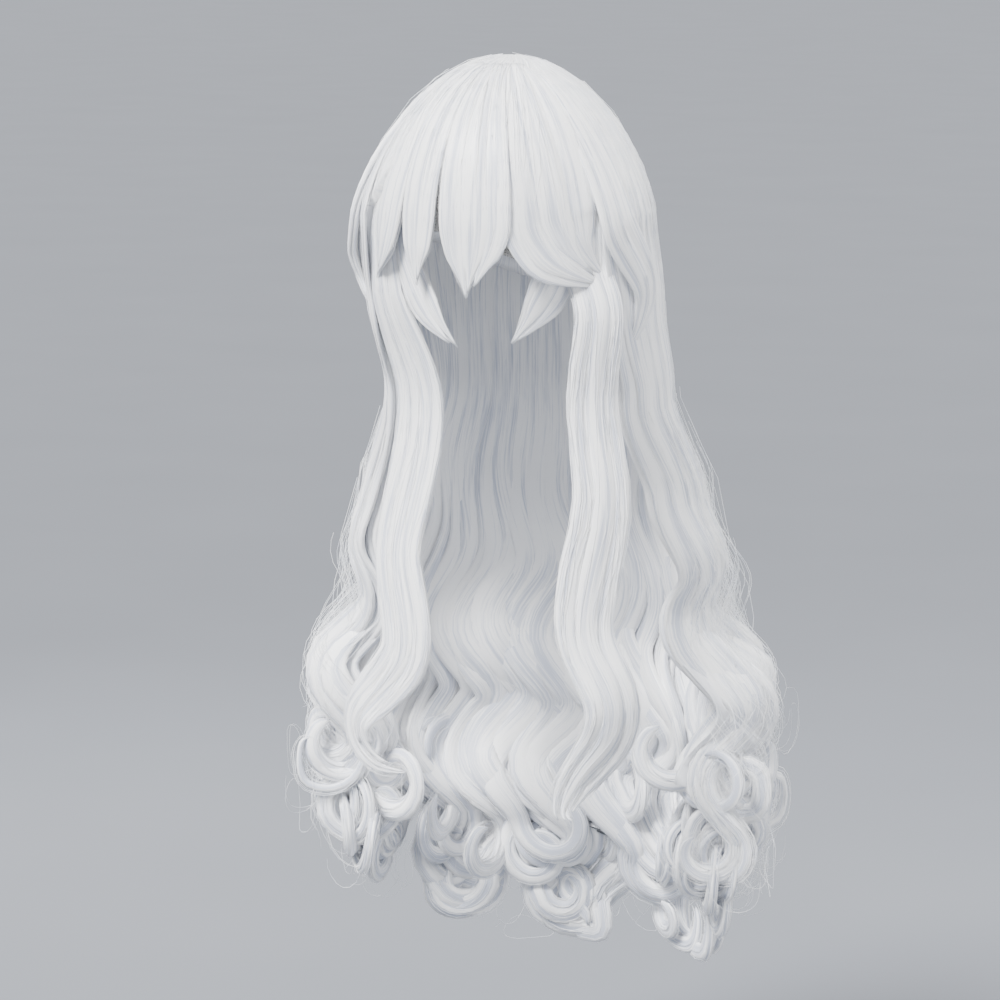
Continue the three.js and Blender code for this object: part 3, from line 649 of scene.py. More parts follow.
def lock_width(turn, lock_turn, downs):
    level = downs / CROWN_HEIGHT
    near, far = (on_hair(turn + side * lock_turn / 2, level, 4) for side in (-1, 1))
    return np.minimum(np.linalg.norm(near - far, axis=1), LOCK_WIDEST)


def lock_curl(hook):
    """How one band of a lock curls: its turns, radius, drift and veer."""
    radius = CURL_RADIUS * rng.uniform(0.8, 1.15)
    turns = hook * rng.uniform(0.85, 1.15)
    drift = rng.choice([-1, 1]) * rng.uniform(8, 20)
    return turns, radius, drift, rng.uniform(-25, 25)


def add_rolled(hair, points, face, width, depth, sides, strands):
    """Adds a strip that parts at its curl, where its strands spread and go on."""
    phase = rng.uniform(0, 6)
    ending = {"parted": 1, "strands": strands, "loose": LOOSE_STEPS, "fan": FAN}
    hair.add_lock(points, face, width, depth, sides, CURL_RIDGE, phase=phase, **ending)


def add_bundle(hair, turn, lock_turn, end, row, band):
    """One bundle of a lock. Its neighbours on the same side of the lock gather with it into one band."""
    across, inner, width_share, end_share, long_strands, curl_strands = row
    hook, radius, drift, veer = band
    own = turn + across * lock_turn / 2
    bump = rng.uniform(-1, 1)

    def depth(drop):
        lay = (lay_inner if inner else lay_outer)(drop)
        sink = abs(across) * EDGE_SINK * (1 - inner)
        return lay + bump * ease(drop, 0.25, 0.5) + sink * ease(drop, 0.2, 0.6)

    stop = DROP * end * end_share - CURL_RISE * radius
    whole = float(lock_width(turn, lock_turn, np.array([stop]))[0])
    points, left, downs, face = mane_path(
        own,
        depth,
        stop,
        hook=hook * rng.uniform(0.92, 1.08),
        radius=radius - math.copysign(BAND_STEP * across, hook),
        drift=drift + rng.uniform(-4, 4),
        veer=veer,
        shift=rng.uniform(-0.05, 0.05),
        swing=rng.uniform(0.85, 1.05),
        start=INNER_START if inner else 0.0,
        margin=CURL_MARGIN,
        gather=(-across * whole / 2, across * BAND_STEP),
    )
    share = mix(TOP_OVERLAP * width_share, width_share, ease(downs / DROP, 0.2, 0.5))
    width = lock_width(own, lock_turn, downs) * share * read(TIP_ROWS, 1, left)
    thick = read(MANE_DEPTHS, 3, downs / DROP) * read(TIP_ROWS, 2, left)
    if inner:
        width = width * np.interp(left[0] - left, [0, 60], [0.2, 1])
    first = int(np.searchsorted(downs, DROP * rng.uniform(0.2, 0.42)))
    strands = [(first, long_strands), (len(points) - CURL_POINTS, curl_strands)]
    add_rolled(hair, points, face, width, thick, 10 if inner else 14, strands)


def add_curl(hair, turn, lock_turn, end, row, hook):
    """A shorter bundle, which comes out of the lock near its end and curls among the others."""
    across, through_share, start, end_share, curl, radius_share = row
    radius = CURL_RADIUS * radius_share * rng.uniform(0.8, 1.2)
    points, left, downs, face = mane_path(
        turn + across * lock_turn / 2,
        lay_between(through_share),
        DROP * end * end_share - CURL_RISE * radius,
        hook=hook * curl * rng.uniform(0.75, 1.15),
        radius=radius,
        drift=rng.uniform(-20, 20),
        veer=rng.uniform(-45, 45),
        shift=rng.uniform(-0.12, 0.12),
        swing=rng.uniform(0.9, 1.15),
        start=start,
        margin=CURL_MARGIN,
    )
    grown = np.interp(left[0] - left, [0, 50], [0.25, 1])
    width = CURL_WIDTH * grown * read(TIP_ROWS, 1, left)
    thick = CURL_DEPTH * grown * read(TIP_ROWS, 2, left)
    strands = [(max(0, len(points) - CURL_POINTS), CURL_STRANDS)]
    add_rolled(hair, points, face, width, thick, 12, strands)


# The under layer: columns to a lock, rows over the head and below it, and the power that spaces those
UNDER_COLUMNS, UNDER_OVER, UNDER_BELOW, UNDER_POWER = 10, 10, 56, 0.9
# Where it ends as a share of the hair, how high its streaks and lobes are, and how much thinner its end is
UNDER_END, UNDER_STREAK, UNDER_RELIEF, UNDER_THINNER = 0.86, 0.22, 0.6, 0.7


def add_under_layer(hair, start, end, locks):
    """The layer under the bundles: a lobed sheet with an outer and an inner side."""
    columns = locks * UNDER_COLUMNS
    turns = np.linspace(start, end, columns + 1)
    end_share = read(MANE_ROWS, 1, turns) * UNDER_END
    over = CROWN_HEIGHT * np.linspace(ROOT_POLAR, WIDEST_POLAR, UNDER_OVER)[:-1] / WIDEST_POLAR
    fallen = (np.linspace(0, 1, UNDER_BELOW) ** UNDER_POWER)[:, None]
    below = CROWN_HEIGHT + (end_share * DROP - CROWN_HEIGHT)[None] * fallen
    downs = np.concatenate([np.broadcast_to(over[:, None], (len(over), columns + 1)), below])
    place = np.mod(np.arange(columns + 1) / UNDER_COLUMNS, 1) * 2 - 1
    relief = read(MANE_DEPTHS, 2, downs / DROP) * np.abs(place)[None] ** 2
    streak = rng.normal(0, UNDER_STREAK, columns + 1)[None]
    outer_depth = np.interp(downs / DROP, [0.1, 0.3, 0.5], [0.2, 4.0, 9.0])
    whole = np.interp(downs / DROP, [0.1, 0.24, 0.45, 0.68], [9.0, 11.0, 15.0, 17.0])
    close = 1 - UNDER_THINNER * ease(np.linspace(0, 1, len(downs)), 0.9, 1)[:, None]
    outer = in_mane(turns[None], downs, outer_depth + relief * UNDER_RELIEF + streak)
    inner = in_mane(turns[None], downs, outer_depth + (whole - outer_depth) * close)
    rings = np.concatenate([outer, inner[:, ::-1]], axis=1)
    u = np.concatenate([turns, turns[::-1]]) * MANE_DEGREE / LAY
    u = np.append(u, u[0])
    v = np.concatenate([downs, downs[:, ::-1]], axis=1) / LAY
    groove = np.zeros((len(downs), len(u) - 1))
    hair.add_rings(rings[:, ::-1], (np.broadcast_to(u[::-1], (len(downs), len(u))), v[:, ::-1]), groove)


# Where strands gather towards a lock's tip, from where they grow fine, and to what share of their thickness
TIP_FROM, FINE_FROM, FINE_SHARE = 0.84, 0.7, 0.3
# Their radius as a share of the thickness, at least and at most, and where they lie between guide and edge
RADIUS_LOW, RADIUS_HIGH, RING = 0.35, 0.55, 0.96
# How far they wind round the guide, in radians, and the scales of the noise that they wind and frizz by
WINDING, SLOW_NOISE, FINE_NOISE = 3.0, 9.0, 28.0
# The step that lays strands apart in their map, and the width that each takes up in it
GOLDEN, MAP_WIDTH = 0.6180339, 0.002


def strand_tree():
    """Geometry Nodes that lay strands round each lock's guide, with a drift, a frizz and an uneven cut."""
    sizes = {"Strands": "Int", "Thickness": "Float", "Lift": "Float", "Frizz": "Float", "Uneven": "Float"}
    tree, given = new_tree("Strands round a lock", **sizes, Seed="Int", Material="Material")
    index = add(tree, "GeometryNodeInputIndex").outputs[0]
    times, times_plus = {"operation": "MULTIPLY"}, {"operation": "MULTIPLY_ADD"}

    def chance(low, high, step):
        """A random number, the same all along a strand."""
        seed = add(tree, "FunctionNodeIntegerMath", {0: given["Seed"], 1: step}, operation="ADD").outputs[0]
        inputs = {2: low, 3: high, "ID": index, "Seed": seed}
        drawn = add(tree, "FunctionNodeRandomValue", inputs, data_type="FLOAT").outputs[1]
        return add(tree, "GeometryNodeFieldOnDomain", {"Value": drawn}, domain="CURVE").outputs[0]

    # Copies of each guide, as many as it has strands
    curves = add(tree, "GeometryNodeMeshToCurve", {"Mesh": given["Geometry"]}).outputs[0]
    share = add(tree, "GeometryNodeInputNamedAttribute", {"Name": "share"}).outputs[0]
    amount = add(tree, "ShaderNodeMath", {0: share, 1: given["Strands"]}, **times).outputs[0]
    amount = add(tree, "GeometryNodeFieldOnDomain", {"Value": amount}, domain="CURVE").outputs[0]
    copies = {"Geometry": curves, "Amount": amount}
    many = add(tree, "GeometryNodeDuplicateElements", copies, domain="SPLINE").outputs[0]

    # Each strand's place on a ring round the guide, which winds slowly and closes near the tip
    place = add(tree, "GeometryNodeInputPosition").outputs[0]
    down = add(tree, "GeometryNodeSplineParameter").outputs["Factor"]
    own = chance(0.0, 60.0, 1)
    slow = {"Vector": place, "W": own, "Scale": SLOW_NOISE, "Detail": 1.0}
    winds = add(tree, "ShaderNodeTexNoise", slow, noise_dimensions="4D").outputs["Fac"]
    round_ring = {0: winds, 1: WINDING, 2: chance(0.0, 2 * math.pi, 2)}
    angle = add(tree, "ShaderNodeMath", round_ring, **times_plus).outputs[0]
    lifted = {0: chance(0.0, 1.0, 3), 1: given["Lift"], 2: RING}
    ring = add(tree, "ShaderNodeMath", lifted, **times_plus).outputs[0]
    near_tip = {"Value": down, "From Min": TIP_FROM, "To Min": 1.0, "To Max": chance(0.1, 1.0, 7)}
    closed = add(tree, "ShaderNodeMapRange", near_tip).outputs[0]
    reach = add(tree, "ShaderNodeMath", {0: ring, 1: closed}, **times).outputs[0]
    moves = []
    for side, wave in (("side", "COSINE"), ("rise", "SINE")):
        turned = add(tree, "ShaderNodeMath", {0: angle}, operation=wave).outputs[0]
        far = add(tree, "ShaderNodeMath", {0: turned, 1: reach}, **times).outputs[0]
        named = add(tree, "GeometryNodeInputNamedAttribute", {"Name": side}, data_type="FLOAT_VECTOR")
        scaled = {0: named.outputs[0], "Scale": far}
        moves.append(add(tree, "ShaderNodeVectorMath", scaled, operation="SCALE").outputs[0])

    # The frizz, which grows towards the strand's end
    fine = {"Vector": place, "W": own, "Scale": FINE_NOISE, "Detail": 2.0}
    tangle = add(tree, "ShaderNodeTexNoise", fine, noise_dimensions="4D").outputs["Color"]
    centred = {0: tangle, 1: (0.5, 0.5, 0.5)}
    shake = add(tree, "ShaderNodeVectorMath", centred, operation="SUBTRACT").outputs[0]
    loose = add(tree, "ShaderNodeMath", {0: given["Frizz"], 1: down}, **times).outputs[0]
    frizz = add(tree, "ShaderNodeVectorMath", {0: shake, "Scale": loose}, operation="SCALE").outputs[0]
    offset = add(tree, "ShaderNodeVectorMath", {0: moves[0], 1: moves[1]}, operation="ADD").outputs[0]
    offset = add(tree, "ShaderNodeVectorMath", {0: offset, 1: frizz}, operation="ADD").outputs[0]
    moved = add(tree, "GeometryNodeSetPosition", {"Geometry": many, "Offset": offset}).outputs[0]

    # The uneven cut, at both ends
    cut = add(tree, "ShaderNodeMath", {0: chance(0.0, 1.0, 4), 1: given["Uneven"]}, **times).outputs[0]
    last = add(tree, "ShaderNodeMath", {0: 1.0, 1: cut}, operation="SUBTRACT").outputs[0]
    first = add(tree, "ShaderNodeMath", {0: chance(0.0, 1.0, 5), 1: given["Uneven"]}, **times).outputs[0]
    kept = {"Curve": moved, 2: first, 3: last}
    strands = add(tree, "GeometryNodeTrimCurve", kept, mode="FACTOR").outputs[0]

    # A three-sided tube along each strand, finer towards its end, and its place in the map
    radius = {0: given["Thickness"], 1: chance(RADIUS_LOW, RADIUS_HIGH, 6)}
    radius = add(tree, "ShaderNodeMath", radius, **times).outputs[0]
    finer = {"Value": down, "From Min": FINE_FROM, "To Min": 1.0, "To Max": FINE_SHARE}
    finer = add(tree, "ShaderNodeMapRange", finer).outputs[0]
    radius = add(tree, "ShaderNodeMath", {0: radius, 1: finer}, **times).outputs[0]
    apart = add(tree, "ShaderNodeMath", {0: index, 1: GOLDEN}, **times).outputs[0]
    column = add(tree, "ShaderNodeMath", {0: apart}, operation="FRACT").outputs[0]
    column = add(tree, "GeometryNodeFieldOnDomain", {"Value": column}, domain="CURVE").outputs[0]
    for name, value in (("down", down), ("column", column)):
        stored = {"Geometry": strands, "Name": name, 3: value}
        strands = add(tree, "GeometryNodeStoreNamedAttribute", stored).outputs[0]
    circle = add(tree, "GeometryNodeCurvePrimitiveCircle", {"Resolution": 3, "Radius": 1.0}).outputs[0]
    stored = {"Geometry": circle, "Name": "rim", 3: down}
    rim = add(tree, "GeometryNodeStoreNamedAttribute", stored).outputs[0]
    sweep = {"Curve": strands, "Profile Curve": rim, "Scale": radius, "Fill Caps": True}
    tubes = add(tree, "GeometryNodeCurveToMesh", sweep).outputs[0]
    laid = {}
    for name in ("rim", "column", "down"):
        laid[name] = add(tree, "GeometryNodeInputNamedAttribute", {"Name": name}).outputs[0]
    across = {0: laid["rim"], 1: MAP_WIDTH, 2: laid["column"]}
    across = add(tree, "ShaderNodeMath", across, **times_plus).outputs[0]
    uv = add(tree, "ShaderNodeCombineXYZ", {"X": across, "Y": laid["down"]}).outputs[0]
    stored = {"Geometry": tubes, "Name": "OFBake", 3: uv}
    corners = {"data_type": "FLOAT2", "domain": "CORNER"}
    mapped = add(tree, "GeometryNodeStoreNamedAttribute", stored, **corners).outputs[0]
    smooth = add(tree, "GeometryNodeSetShadeSmooth", {"Geometry": mapped}).outputs[0]
    real = add(tree, "GeometryNodeRealizeInstances", {"Geometry": smooth}).outputs[0]
    worn = {"Geometry": real, "Material": given["Material"]}
    coloured = add(tree, "GeometryNodeSetMaterial", worn).outputs[0]
    add(tree, "NodeGroupOutput", {"Geometry": coloured})
    return tree


def strand_material():
    """Single filaments of the same fibre: its own white, with a slight change of tone along each."""
    finish = {"Roughness": 0.4, "IOR": 1.5, "Sheen_Weight": 0.1}
    material, tree, surface = new_material("modacrylic hair fibre, single strands", **finish)
    place = add(tree, "ShaderNodeTexCoord").outputs["Object"]
    tone = add(tree, "ShaderNodeTexNoise", {"Vector": place, "Scale": 60.0, "Detail": 2.0}).outputs["Fac"]
    paint(tree, surface, tone, [(0.3, "e6eaf2"), (0.6, "ffffff")])
    emboss(tree, surface, tone, 0.1, 0.2)
    return material


def comb(points, turned, longest):
    """Which points of a line its strands keep: fewer where it is nearly straight."""
    kept = [0]
    for i in range(1, len(points) - 1):
        before, after = points[i] - points[kept[-1]], points[i + 1] - points[i]
        lengths = np.linalg.norm(before) * np.linalg.norm(after)
        angle = np.degrees(np.arccos(np.clip(before @ after / lengths, -1, 1)))
        if angle > turned or np.linalg.norm(before) > longest:
            kept.append(i)
    return kept + [len(points) - 1]


def grow_strands(name, guides, seed, thickness, lift, frizz, turned, uneven=0.12, longest=40):
    """Makes the loose strands of one piece, drawn thicker than the real 0.08 mm so that they show."""
    thinned = []
    for line, side, rise, share in guides:
        kept = comb(line, turned, longest)
        thinned.append((line[kept], side[kept], rise[kept], share))
    values = {
        "Strands": 1,
        "Thickness": thickness * MM,
        "Lift": lift,
        "Frizz": frizz * MM,
        "Uneven": uneven,
        "Seed": seed,
        "Material": strand_fibre,
    }
    from_guides(name, thinned, strands_round, values)


strand_fibre = strand_material()
strands_round = strand_tree()

for seed, (name, (start, end, hooks)) in enumerate(MANES.items()):
    under, locks = Piece(), Piece()
    lock_turn = (end - start) / len(hooks)
    add_under_layer(under, start, end, len(hooks))
    for i, hook in enumerate(hooks):
        turn = start + lock_turn * (i + 0.5)
        length = float(read(MANE_ROWS, 1, turn)) * rng.uniform(0.975, 1.005)
        bands = lock_curl(hook), lock_curl(-hook)
        for row in BUNDLES:
            add_bundle(locks, turn, lock_turn, length, row, bands[row[1]])
        for row in CURLS:
            add_curl(locks, turn, lock_turn, length, row, hook)
    under.mesh(name + "_under_layer", shaded_under_fibre, "hair_fibre")
    locks.mesh(name + "_locks", lock_fibre, "hair_fibre", name)
    halves = [("_strands", locks.guides)]
    if name == "back_hair":
        half = len(locks.guides) // 2
        halves = [("_strands_left", locks.guides[:half]), ("_strands_right", locks.guides[half:])]
    loose = {"thickness": 0.6, "lift": 0.18, "frizz": 9.0, "turned": 9, "uneven": 0.2, "longest": 30}
    for side, (ending, guides) in enumerate(halves):
        grow_strands(name + ending, guides, MANE_SEED + 2 * seed + side, **loose)

# Strands over the head: the turn between two guides, and the points and strands of each
TOP_SPACING, TOP_STEPS, TOP_STRANDS = 5.0, 36, 9
# How far they spread as a turn, how deep they lie, and how far they lift
TOP_SPREAD, TOP_DEPTH, TOP_LIFT = 2.8, 0.3, 0.8
top_guides = []
for turn in np.arange(-180, 180, TOP_SPACING):
    reach = 0.95 if abs(turn) < FACE_TURN else 2.6
    level = np.linspace(0.03, reach * rng.uniform(0.85, 1.05), TOP_STEPS)
    twisted = turn + WHORL_TWIST * (1 - ease(WIDEST_POLAR * level, 0, WHORL_POLAR))
    line = on_hair(twisted, level, TOP_DEPTH)
    near, far = (on_hair(twisted + way * TOP_SPREAD, level, TOP_DEPTH) for way in (-1, 1))
    side = (far - near) / 2
    top_guides.append((line, side, outward(twisted, level) * TOP_LIFT, TOP_STRANDS))
combed = {"thickness": 0.35, "lift": 0.3, "frizz": 1.0, "turned": 6, "uneven": 0.4, "longest": 22}
grow_strands("crown_strands", top_guides, TOP_SEED, **combed)

# The fringe and the short locks by the face: hair cut to a point and heat-set to curve in at its ends.
# Each is made of a few broad, flat bundles that overlap and meet at the tip.
TOP_LOCK_DEPTH = 9.0
SHORT_STEPS, SHORT_SOFTNESS, SHORT_STRANDS, SHORT_SEED = 30, 3, 34, 60
# Sides of a bundle, where it narrows and to what share, and from where more strands follow it
FAN_SIDES, NARROWS, TIP_SHARE, TIPS_FROM = 22, 0.78, 0.1, 0.7
# The sum of the bundles' widths and the depth of one, as shares of the lock's, and the height of its ridges
OVERLAP, BUNDLE_DEPTH, BUNDLE_RIDGE = 2.2, 0.46, 0.04
# The least width and depth of a bundle, at its tip
LEAST_WIDTH, LEAST_DEPTH = 0.5, 0.4
# The core under the bundles: how deep it is sunk, its width, depth, ridges and their height
CORE_SINK, CORE_WIDTH, CORE_DEPTH, CORE_RIDGES, CORE_RIDGE = 0.9, 0.94, 0.75, 7, 0.03
# Width, number of bundles, and rows of level, turn from the front, width share, depth share and stand-off
SHORT_LOCKS = {
    "fringe_centre": (56, 5, [
        (0.18, 4, 0.2, 0.6, 0),
        (0.5, 4, 0.68, 0.8, 0),
        (0.8, 5, 0.96, 1, 0),
        (1.05, 5, 1, 1, 0),
        (1.22, 4, 0.8, 0.9, -1),
        (1.4, 3, 0.42, 0.7, -2),
        (1.56, 2, 0.05, 0.25, -3),
    ]),
    "fringe_right_inner": (34, 4, [
        (0.18, -22, 0.2, 0.6, 0),
        (0.5, -23, 0.7, 0.8, 0),
        (0.8, -24, 0.95, 1, 0),
        (1.0, -25, 1, 1, 0),
        (1.2, -26, 0.88, 0.9, 0),
        (1.36, -27, 0.52, 0.7, -1),
        (1.49, -26, 0.06, 0.25, -2),
    ]),
    "fringe_right_outer": (38, 4, [
        (0.18, -42, 0.2, 0.6, 0),
        (0.5, -43, 0.7, 0.8, 0),
        (0.8, -44, 0.95, 1, 0),
        (1, -46, 1, 1, 0),
        (1.2, -49, 0.85, 0.9, 0),
        (1.36, -53, 0.5, 0.7, -1),
        (1.5, -57, 0.08, 0.3, -2),
    ]),
    "fringe_left": (84, 6, [
        (0.18, 30, 0.2, 0.6, 0),
        (0.5, 34, 0.66, 0.8, 0),
        (0.8, 38, 0.9, 1, 0),
        (1, 40, 0.98, 1, 0),
        (1.2, 45, 0.86, 0.9, 0),
        (1.36, 53, 0.52, 0.7, 0),
        (1.5, 61, 0.08, 0.3, 0),
    ]),
    "temple_lock_left": (36, 4, [
        (0.3, 58, 0.3, 0.6, 0),
        (0.7, 64, 0.8, 0.9, 1),
        (1.1, 68, 1, 1.1, 5),
        (1.5, 76, 0.9, 1, 8),
        (1.8, 74, 0.55, 0.8, 4),
        (2.08, 62, 0.1, 0.3, -2),
    ]),
    "temple_lock_right": (36, 4, [
        (0.3, -66, 0.3, 0.6, 0),
        (0.65, -72, 0.8, 0.9, 1),
        (1, -76, 1, 1.1, 8),
        (1.3, -78, 0.95, 1, 13),
        (1.55, -74, 0.55, 0.8, 7),
        (1.8, -64, 0.1, 0.3, -2),
    ]),
    "cheek_lock_left": (40, 4, [
        (0.6, 46, 0.5, 0.3, -9.5),
        (0.95, 49, 0.75, 0.7, -9.8),
        (1.3, 49, 0.95, 0.9, -10),
        (1.55, 44, 0.9, 0.9, -12),
        (1.75, 36, 0.6, 0.7, -16),
        (1.92, 25, 0.1, 0.3, -24),
    ]),
    "cheek_lock_right": (40, 4, [
        (0.6, -44, 0.5, 0.3, -9.5),
        (0.95, -45, 0.75, 0.7, -9.8),
        (1.3, -44, 0.95, 0.9, -10),
        (1.55, -36, 0.9, 0.9, -12),
        (1.78, -24, 0.6, 0.7, -16),
        (1.96, -10, 0.1, 0.3, -24),
    ]),
}


def soften(rows, times):
    """Rounds the corners of a line, or of a row of sizes, and keeps its ends."""
    for _ in range(times):
        rows = np.concatenate([rows[:1], (rows[:-2] + 2 * rows[1:-1] + rows[2:]) / 4, rows[-1:]])
    return rows


def short_line(rows):
    """The middle of a short lock, its outward direction, and its width and depth shares."""
    keys, *columns = np.array(rows, float).T
    level = np.linspace(keys[0], keys[-1], SHORT_STEPS)
    turn, width, depth, off = (soften(np.interp(level, keys, c), SHORT_SOFTNESS) for c in columns)
    points = on_hair(turn, level, TOP_LOCK_DEPTH * depth / 2 - off)
    return points, outward(turn, level), width, TOP_LOCK_DEPTH * depth


def to_tip(count):
    """The share of its size that a bundle has at each of its points."""
    return np.interp(np.arange(count), [0, count * NARROWS, count - 1], [1, 1, TIP_SHARE])


def add_fan(hair, points, out, width, depth, bundles, strands, tips=0, fan=2, ragged=3):
    """Fills a lock with broad, flat bundles that overlap, meet where it narrows and end a little apart."""
    along = np.gradient(points, axis=0)
    along /= np.linalg.norm(along, axis=1)[:, None]
    side = np.cross(along, out)
    side /= np.linalg.norm(side, axis=1)[:, None]
    rise = np.cross(side, along)
    width = np.minimum(width, bend_room(points))
    count = len(points)
    whole = count - ragged + 3
    core, tip = (points - rise * CORE_SINK)[:whole], to_tip(whole)
    core_width, core_depth = width[:whole] * CORE_WIDTH * tip, depth[:whole] * CORE_DEPTH * tip
    hair.add_lock(core, out[:whole], core_width, core_depth, FAN_SIDES, CORE_RIDGE, CORE_RIDGES)
    share = OVERLAP / bundles
    for i, x in enumerate(np.linspace(share - 1, 1 - share, bundles)):
        own = x + rng.uniform(-0.04, 0.04) + 0.06 * np.sin(np.linspace(0, 3, count) + rng.uniform(0, 6))
        lift = depth * (0.2 - 0.3 * x * x + 0.05 * (-1) ** i)
        line = points + side * (own * width / 2)[:, None] + rise * lift[:, None]
        last = count - int(rng.integers(0, ragged))
        hair.add_lock(
            line[:last],
            out[:last],
            width[:last] * share * rng.uniform(0.95, 1.1) * to_tip(last) + LEAST_WIDTH,
            depth[:last] * BUNDLE_DEPTH * to_tip(last) + LEAST_DEPTH,
            FAN_SIDES,
            BUNDLE_RIDGE,
            phase=rng.uniform(0, 6),
            strands=[(0, strands), (int(last * TIPS_FROM), tips)],
            fan=fan,
        )


short_finish = {"thickness": 0.35, "lift": 0.1, "frizz": 1.5, "turned": 5, "uneven": 0.08}
for seed, (name, (width, bundles, rows)) in enumerate(SHORT_LOCKS.items()):
    lock = Piece()
    points, out, width_share, depth = short_line(rows)
    add_fan(lock, points, out, width * width_share, depth, bundles, SHORT_STRANDS)
    lock.mesh(name + "_bundles", lock_fibre, "hair_fibre", name)
    grow_strands(name + "_strands", lock.guides, SHORT_SEED + seed, **short_finish)

# The front locks: one long lock on each side, which falls from the temple before the shoulder.
# Each waves more and more on the way down, and its end sweeps round in one soft curl.
FRONT_WIDTH, FRONT_DEPTH = 48.0, 20.0
FRONT_STEPS, FRONT_SOFTNESS, FRONT_BUNDLES, FRONT_STRANDS, FRONT_TIPS, FRONT_SINK = 72, 5, 5, 30, 22, 6.0
# How wide the strands spread, over how many points the bundles' ends lie apart, and the strands' seed
FRONT_FAN, FRONT_RAGGED, FRONT_SEED = 11, 9, 80
FRONT_TURN = {"front_lock_left": 57, "front_lock_right": -57}
# Over the head: level, width share, depth share
FRONT_HEAD_ROWS = [(0.3, 0.4, 0.4), (0.65, 0.75, 0.4), (1, 0.8, 0.45), (1.38, 0.75, 0.6)]
# Below: share of the drop, place out to the side and forward as shares, width share, depth share
FRONT_ROWS = {
    "front_lock_left": [
        (0.24, 0.52, 0.76, 0.8, 0.6),
        (0.33, 0.46, 0.7, 0.85, 0.8),
        (0.43, 0.53, 0.76, 0.95, 0.9),
        (0.51, 0.48, 0.84, 1.05, 1),
        (0.58, 0.46, 0.9, 0.9, 1),
        (0.64, 0.58, 0.86, 0.9, 1),
        (0.69, 0.55, 0.8, 1, 1),
        (0.735, 0.42, 0.84, 0.85, 0.9),
        (0.775, 0.37, 0.92, 0.46, 0.6),
        (0.785, 0.5, 0.94, 0.12, 0.25),
    ],
    "front_lock_right": [
        (0.24, -0.43, 0.66, 0.95, 0.6),
        (0.33, -0.31, 0.5, 1.2, 0.8),
        (0.42, -0.34, 0.56, 1.2, 0.9),
        (0.5, -0.4, 0.66, 1.1, 1),
        (0.56, -0.35, 0.78, 1.1, 1),
        (0.61, -0.33, 0.84, 1, 1),
        (0.65, -0.44, 0.8, 0.95, 1),
        (0.69, -0.57, 0.78, 0.9, 1),
        (0.73, -0.5, 0.8, 0.55, 0.8),
        (0.74, -0.34, 0.86, 0.12, 0.3),
    ],
}


def through(knots, steps):
    """A smooth line through rows of numbers, one row for each knot."""
    knots = np.asarray(knots, float)
    padded = np.concatenate([[2 * knots[0] - knots[1]], knots, [2 * knots[-1] - knots[-2]]])
    at = np.linspace(0, len(knots) - 1, steps)
    i = np.minimum(at.astype(int), len(knots) - 2)
    t = (at - i)[:, None]
    a, b, c, d = (padded[i + k] for k in range(4))
    return 0.5 * (2 * b + (c - a) * t + (2 * a - 5 * b + 4 * c - d) * t**2 + (3 * b - a - 3 * c + d) * t**3)


def front_line(name):
    """The middle of a front lock, its outward direction, and its width and depth."""
    turn, rows, top = FRONT_TURN[name], np.array(FRONT_ROWS[name]), np.array(FRONT_HEAD_ROWS)
    over = on_hair(turn, top[:, 0], FRONT_DEPTH * top[:, 2] * 0.5 + FRONT_SINK)
    below = np.stack([rows[:, 1] * SPREAD_SIDE, -rows[:, 2] * HANG_BACK, -rows[:, 0] * DROP], -1)
    shares = np.concatenate([top[:, 1:3], rows[:, 3:5]])
    knots = np.concatenate([np.concatenate([over, below]), shares], 1)
    line = soften(through(knots, FRONT_STEPS), FRONT_SOFTNESS)
    points, width, depth = line[:, :3], line[:, 3] * FRONT_WIDTH, line[:, 4] * FRONT_DEPTH
    level = -points[:, 2] / CROWN_HEIGHT
    away = np.stack([points[:, 0], np.minimum(points[:, 1], 0) * 2, 0 * level], -1)
    away /= np.linalg.norm(away, axis=1)[:, None]
    blend = ease(level, 0.6, 1.4)[:, None]
    out = outward(turn, level) * (1 - blend) + away * blend
    return points, out / np.linalg.norm(out, axis=1)[:, None], width, depth


front_finish = {"thickness": 0.45, "lift": 0.14, "frizz": 5.0, "turned": 5, "longest": 22}
front_ends = {"tips": FRONT_TIPS, "fan": FRONT_FAN, "ragged": FRONT_RAGGED}
for seed, name in enumerate(FRONT_ROWS):
    lock = Piece()
    add_fan(lock, *front_line(name), FRONT_BUNDLES, FRONT_STRANDS, **front_ends)
    lock.mesh(name + "_bundles", lock_fibre, "hair_fibre", name)
    grow_strands(name + "_strands", lock.guides, FRONT_SEED + seed, **front_finish)

# Stray hairs: single filaments that static and brushing lift off the hair, most of them by its curls.
# They keep the loops that the rollers set in them, and stay within the room that the frame gives them.
STRAY_REACH, STRAY_LIFT, STRAY_SIDE = 4.0, 7.0, 60
STRAYS_ROUND, STRAYS_EACH_SIDE, STRAYS_OVER = 170, 75, 44
STRAY_MARGIN, STRAY_STEPS, STRAY_SEED = 8.0, 36, 7

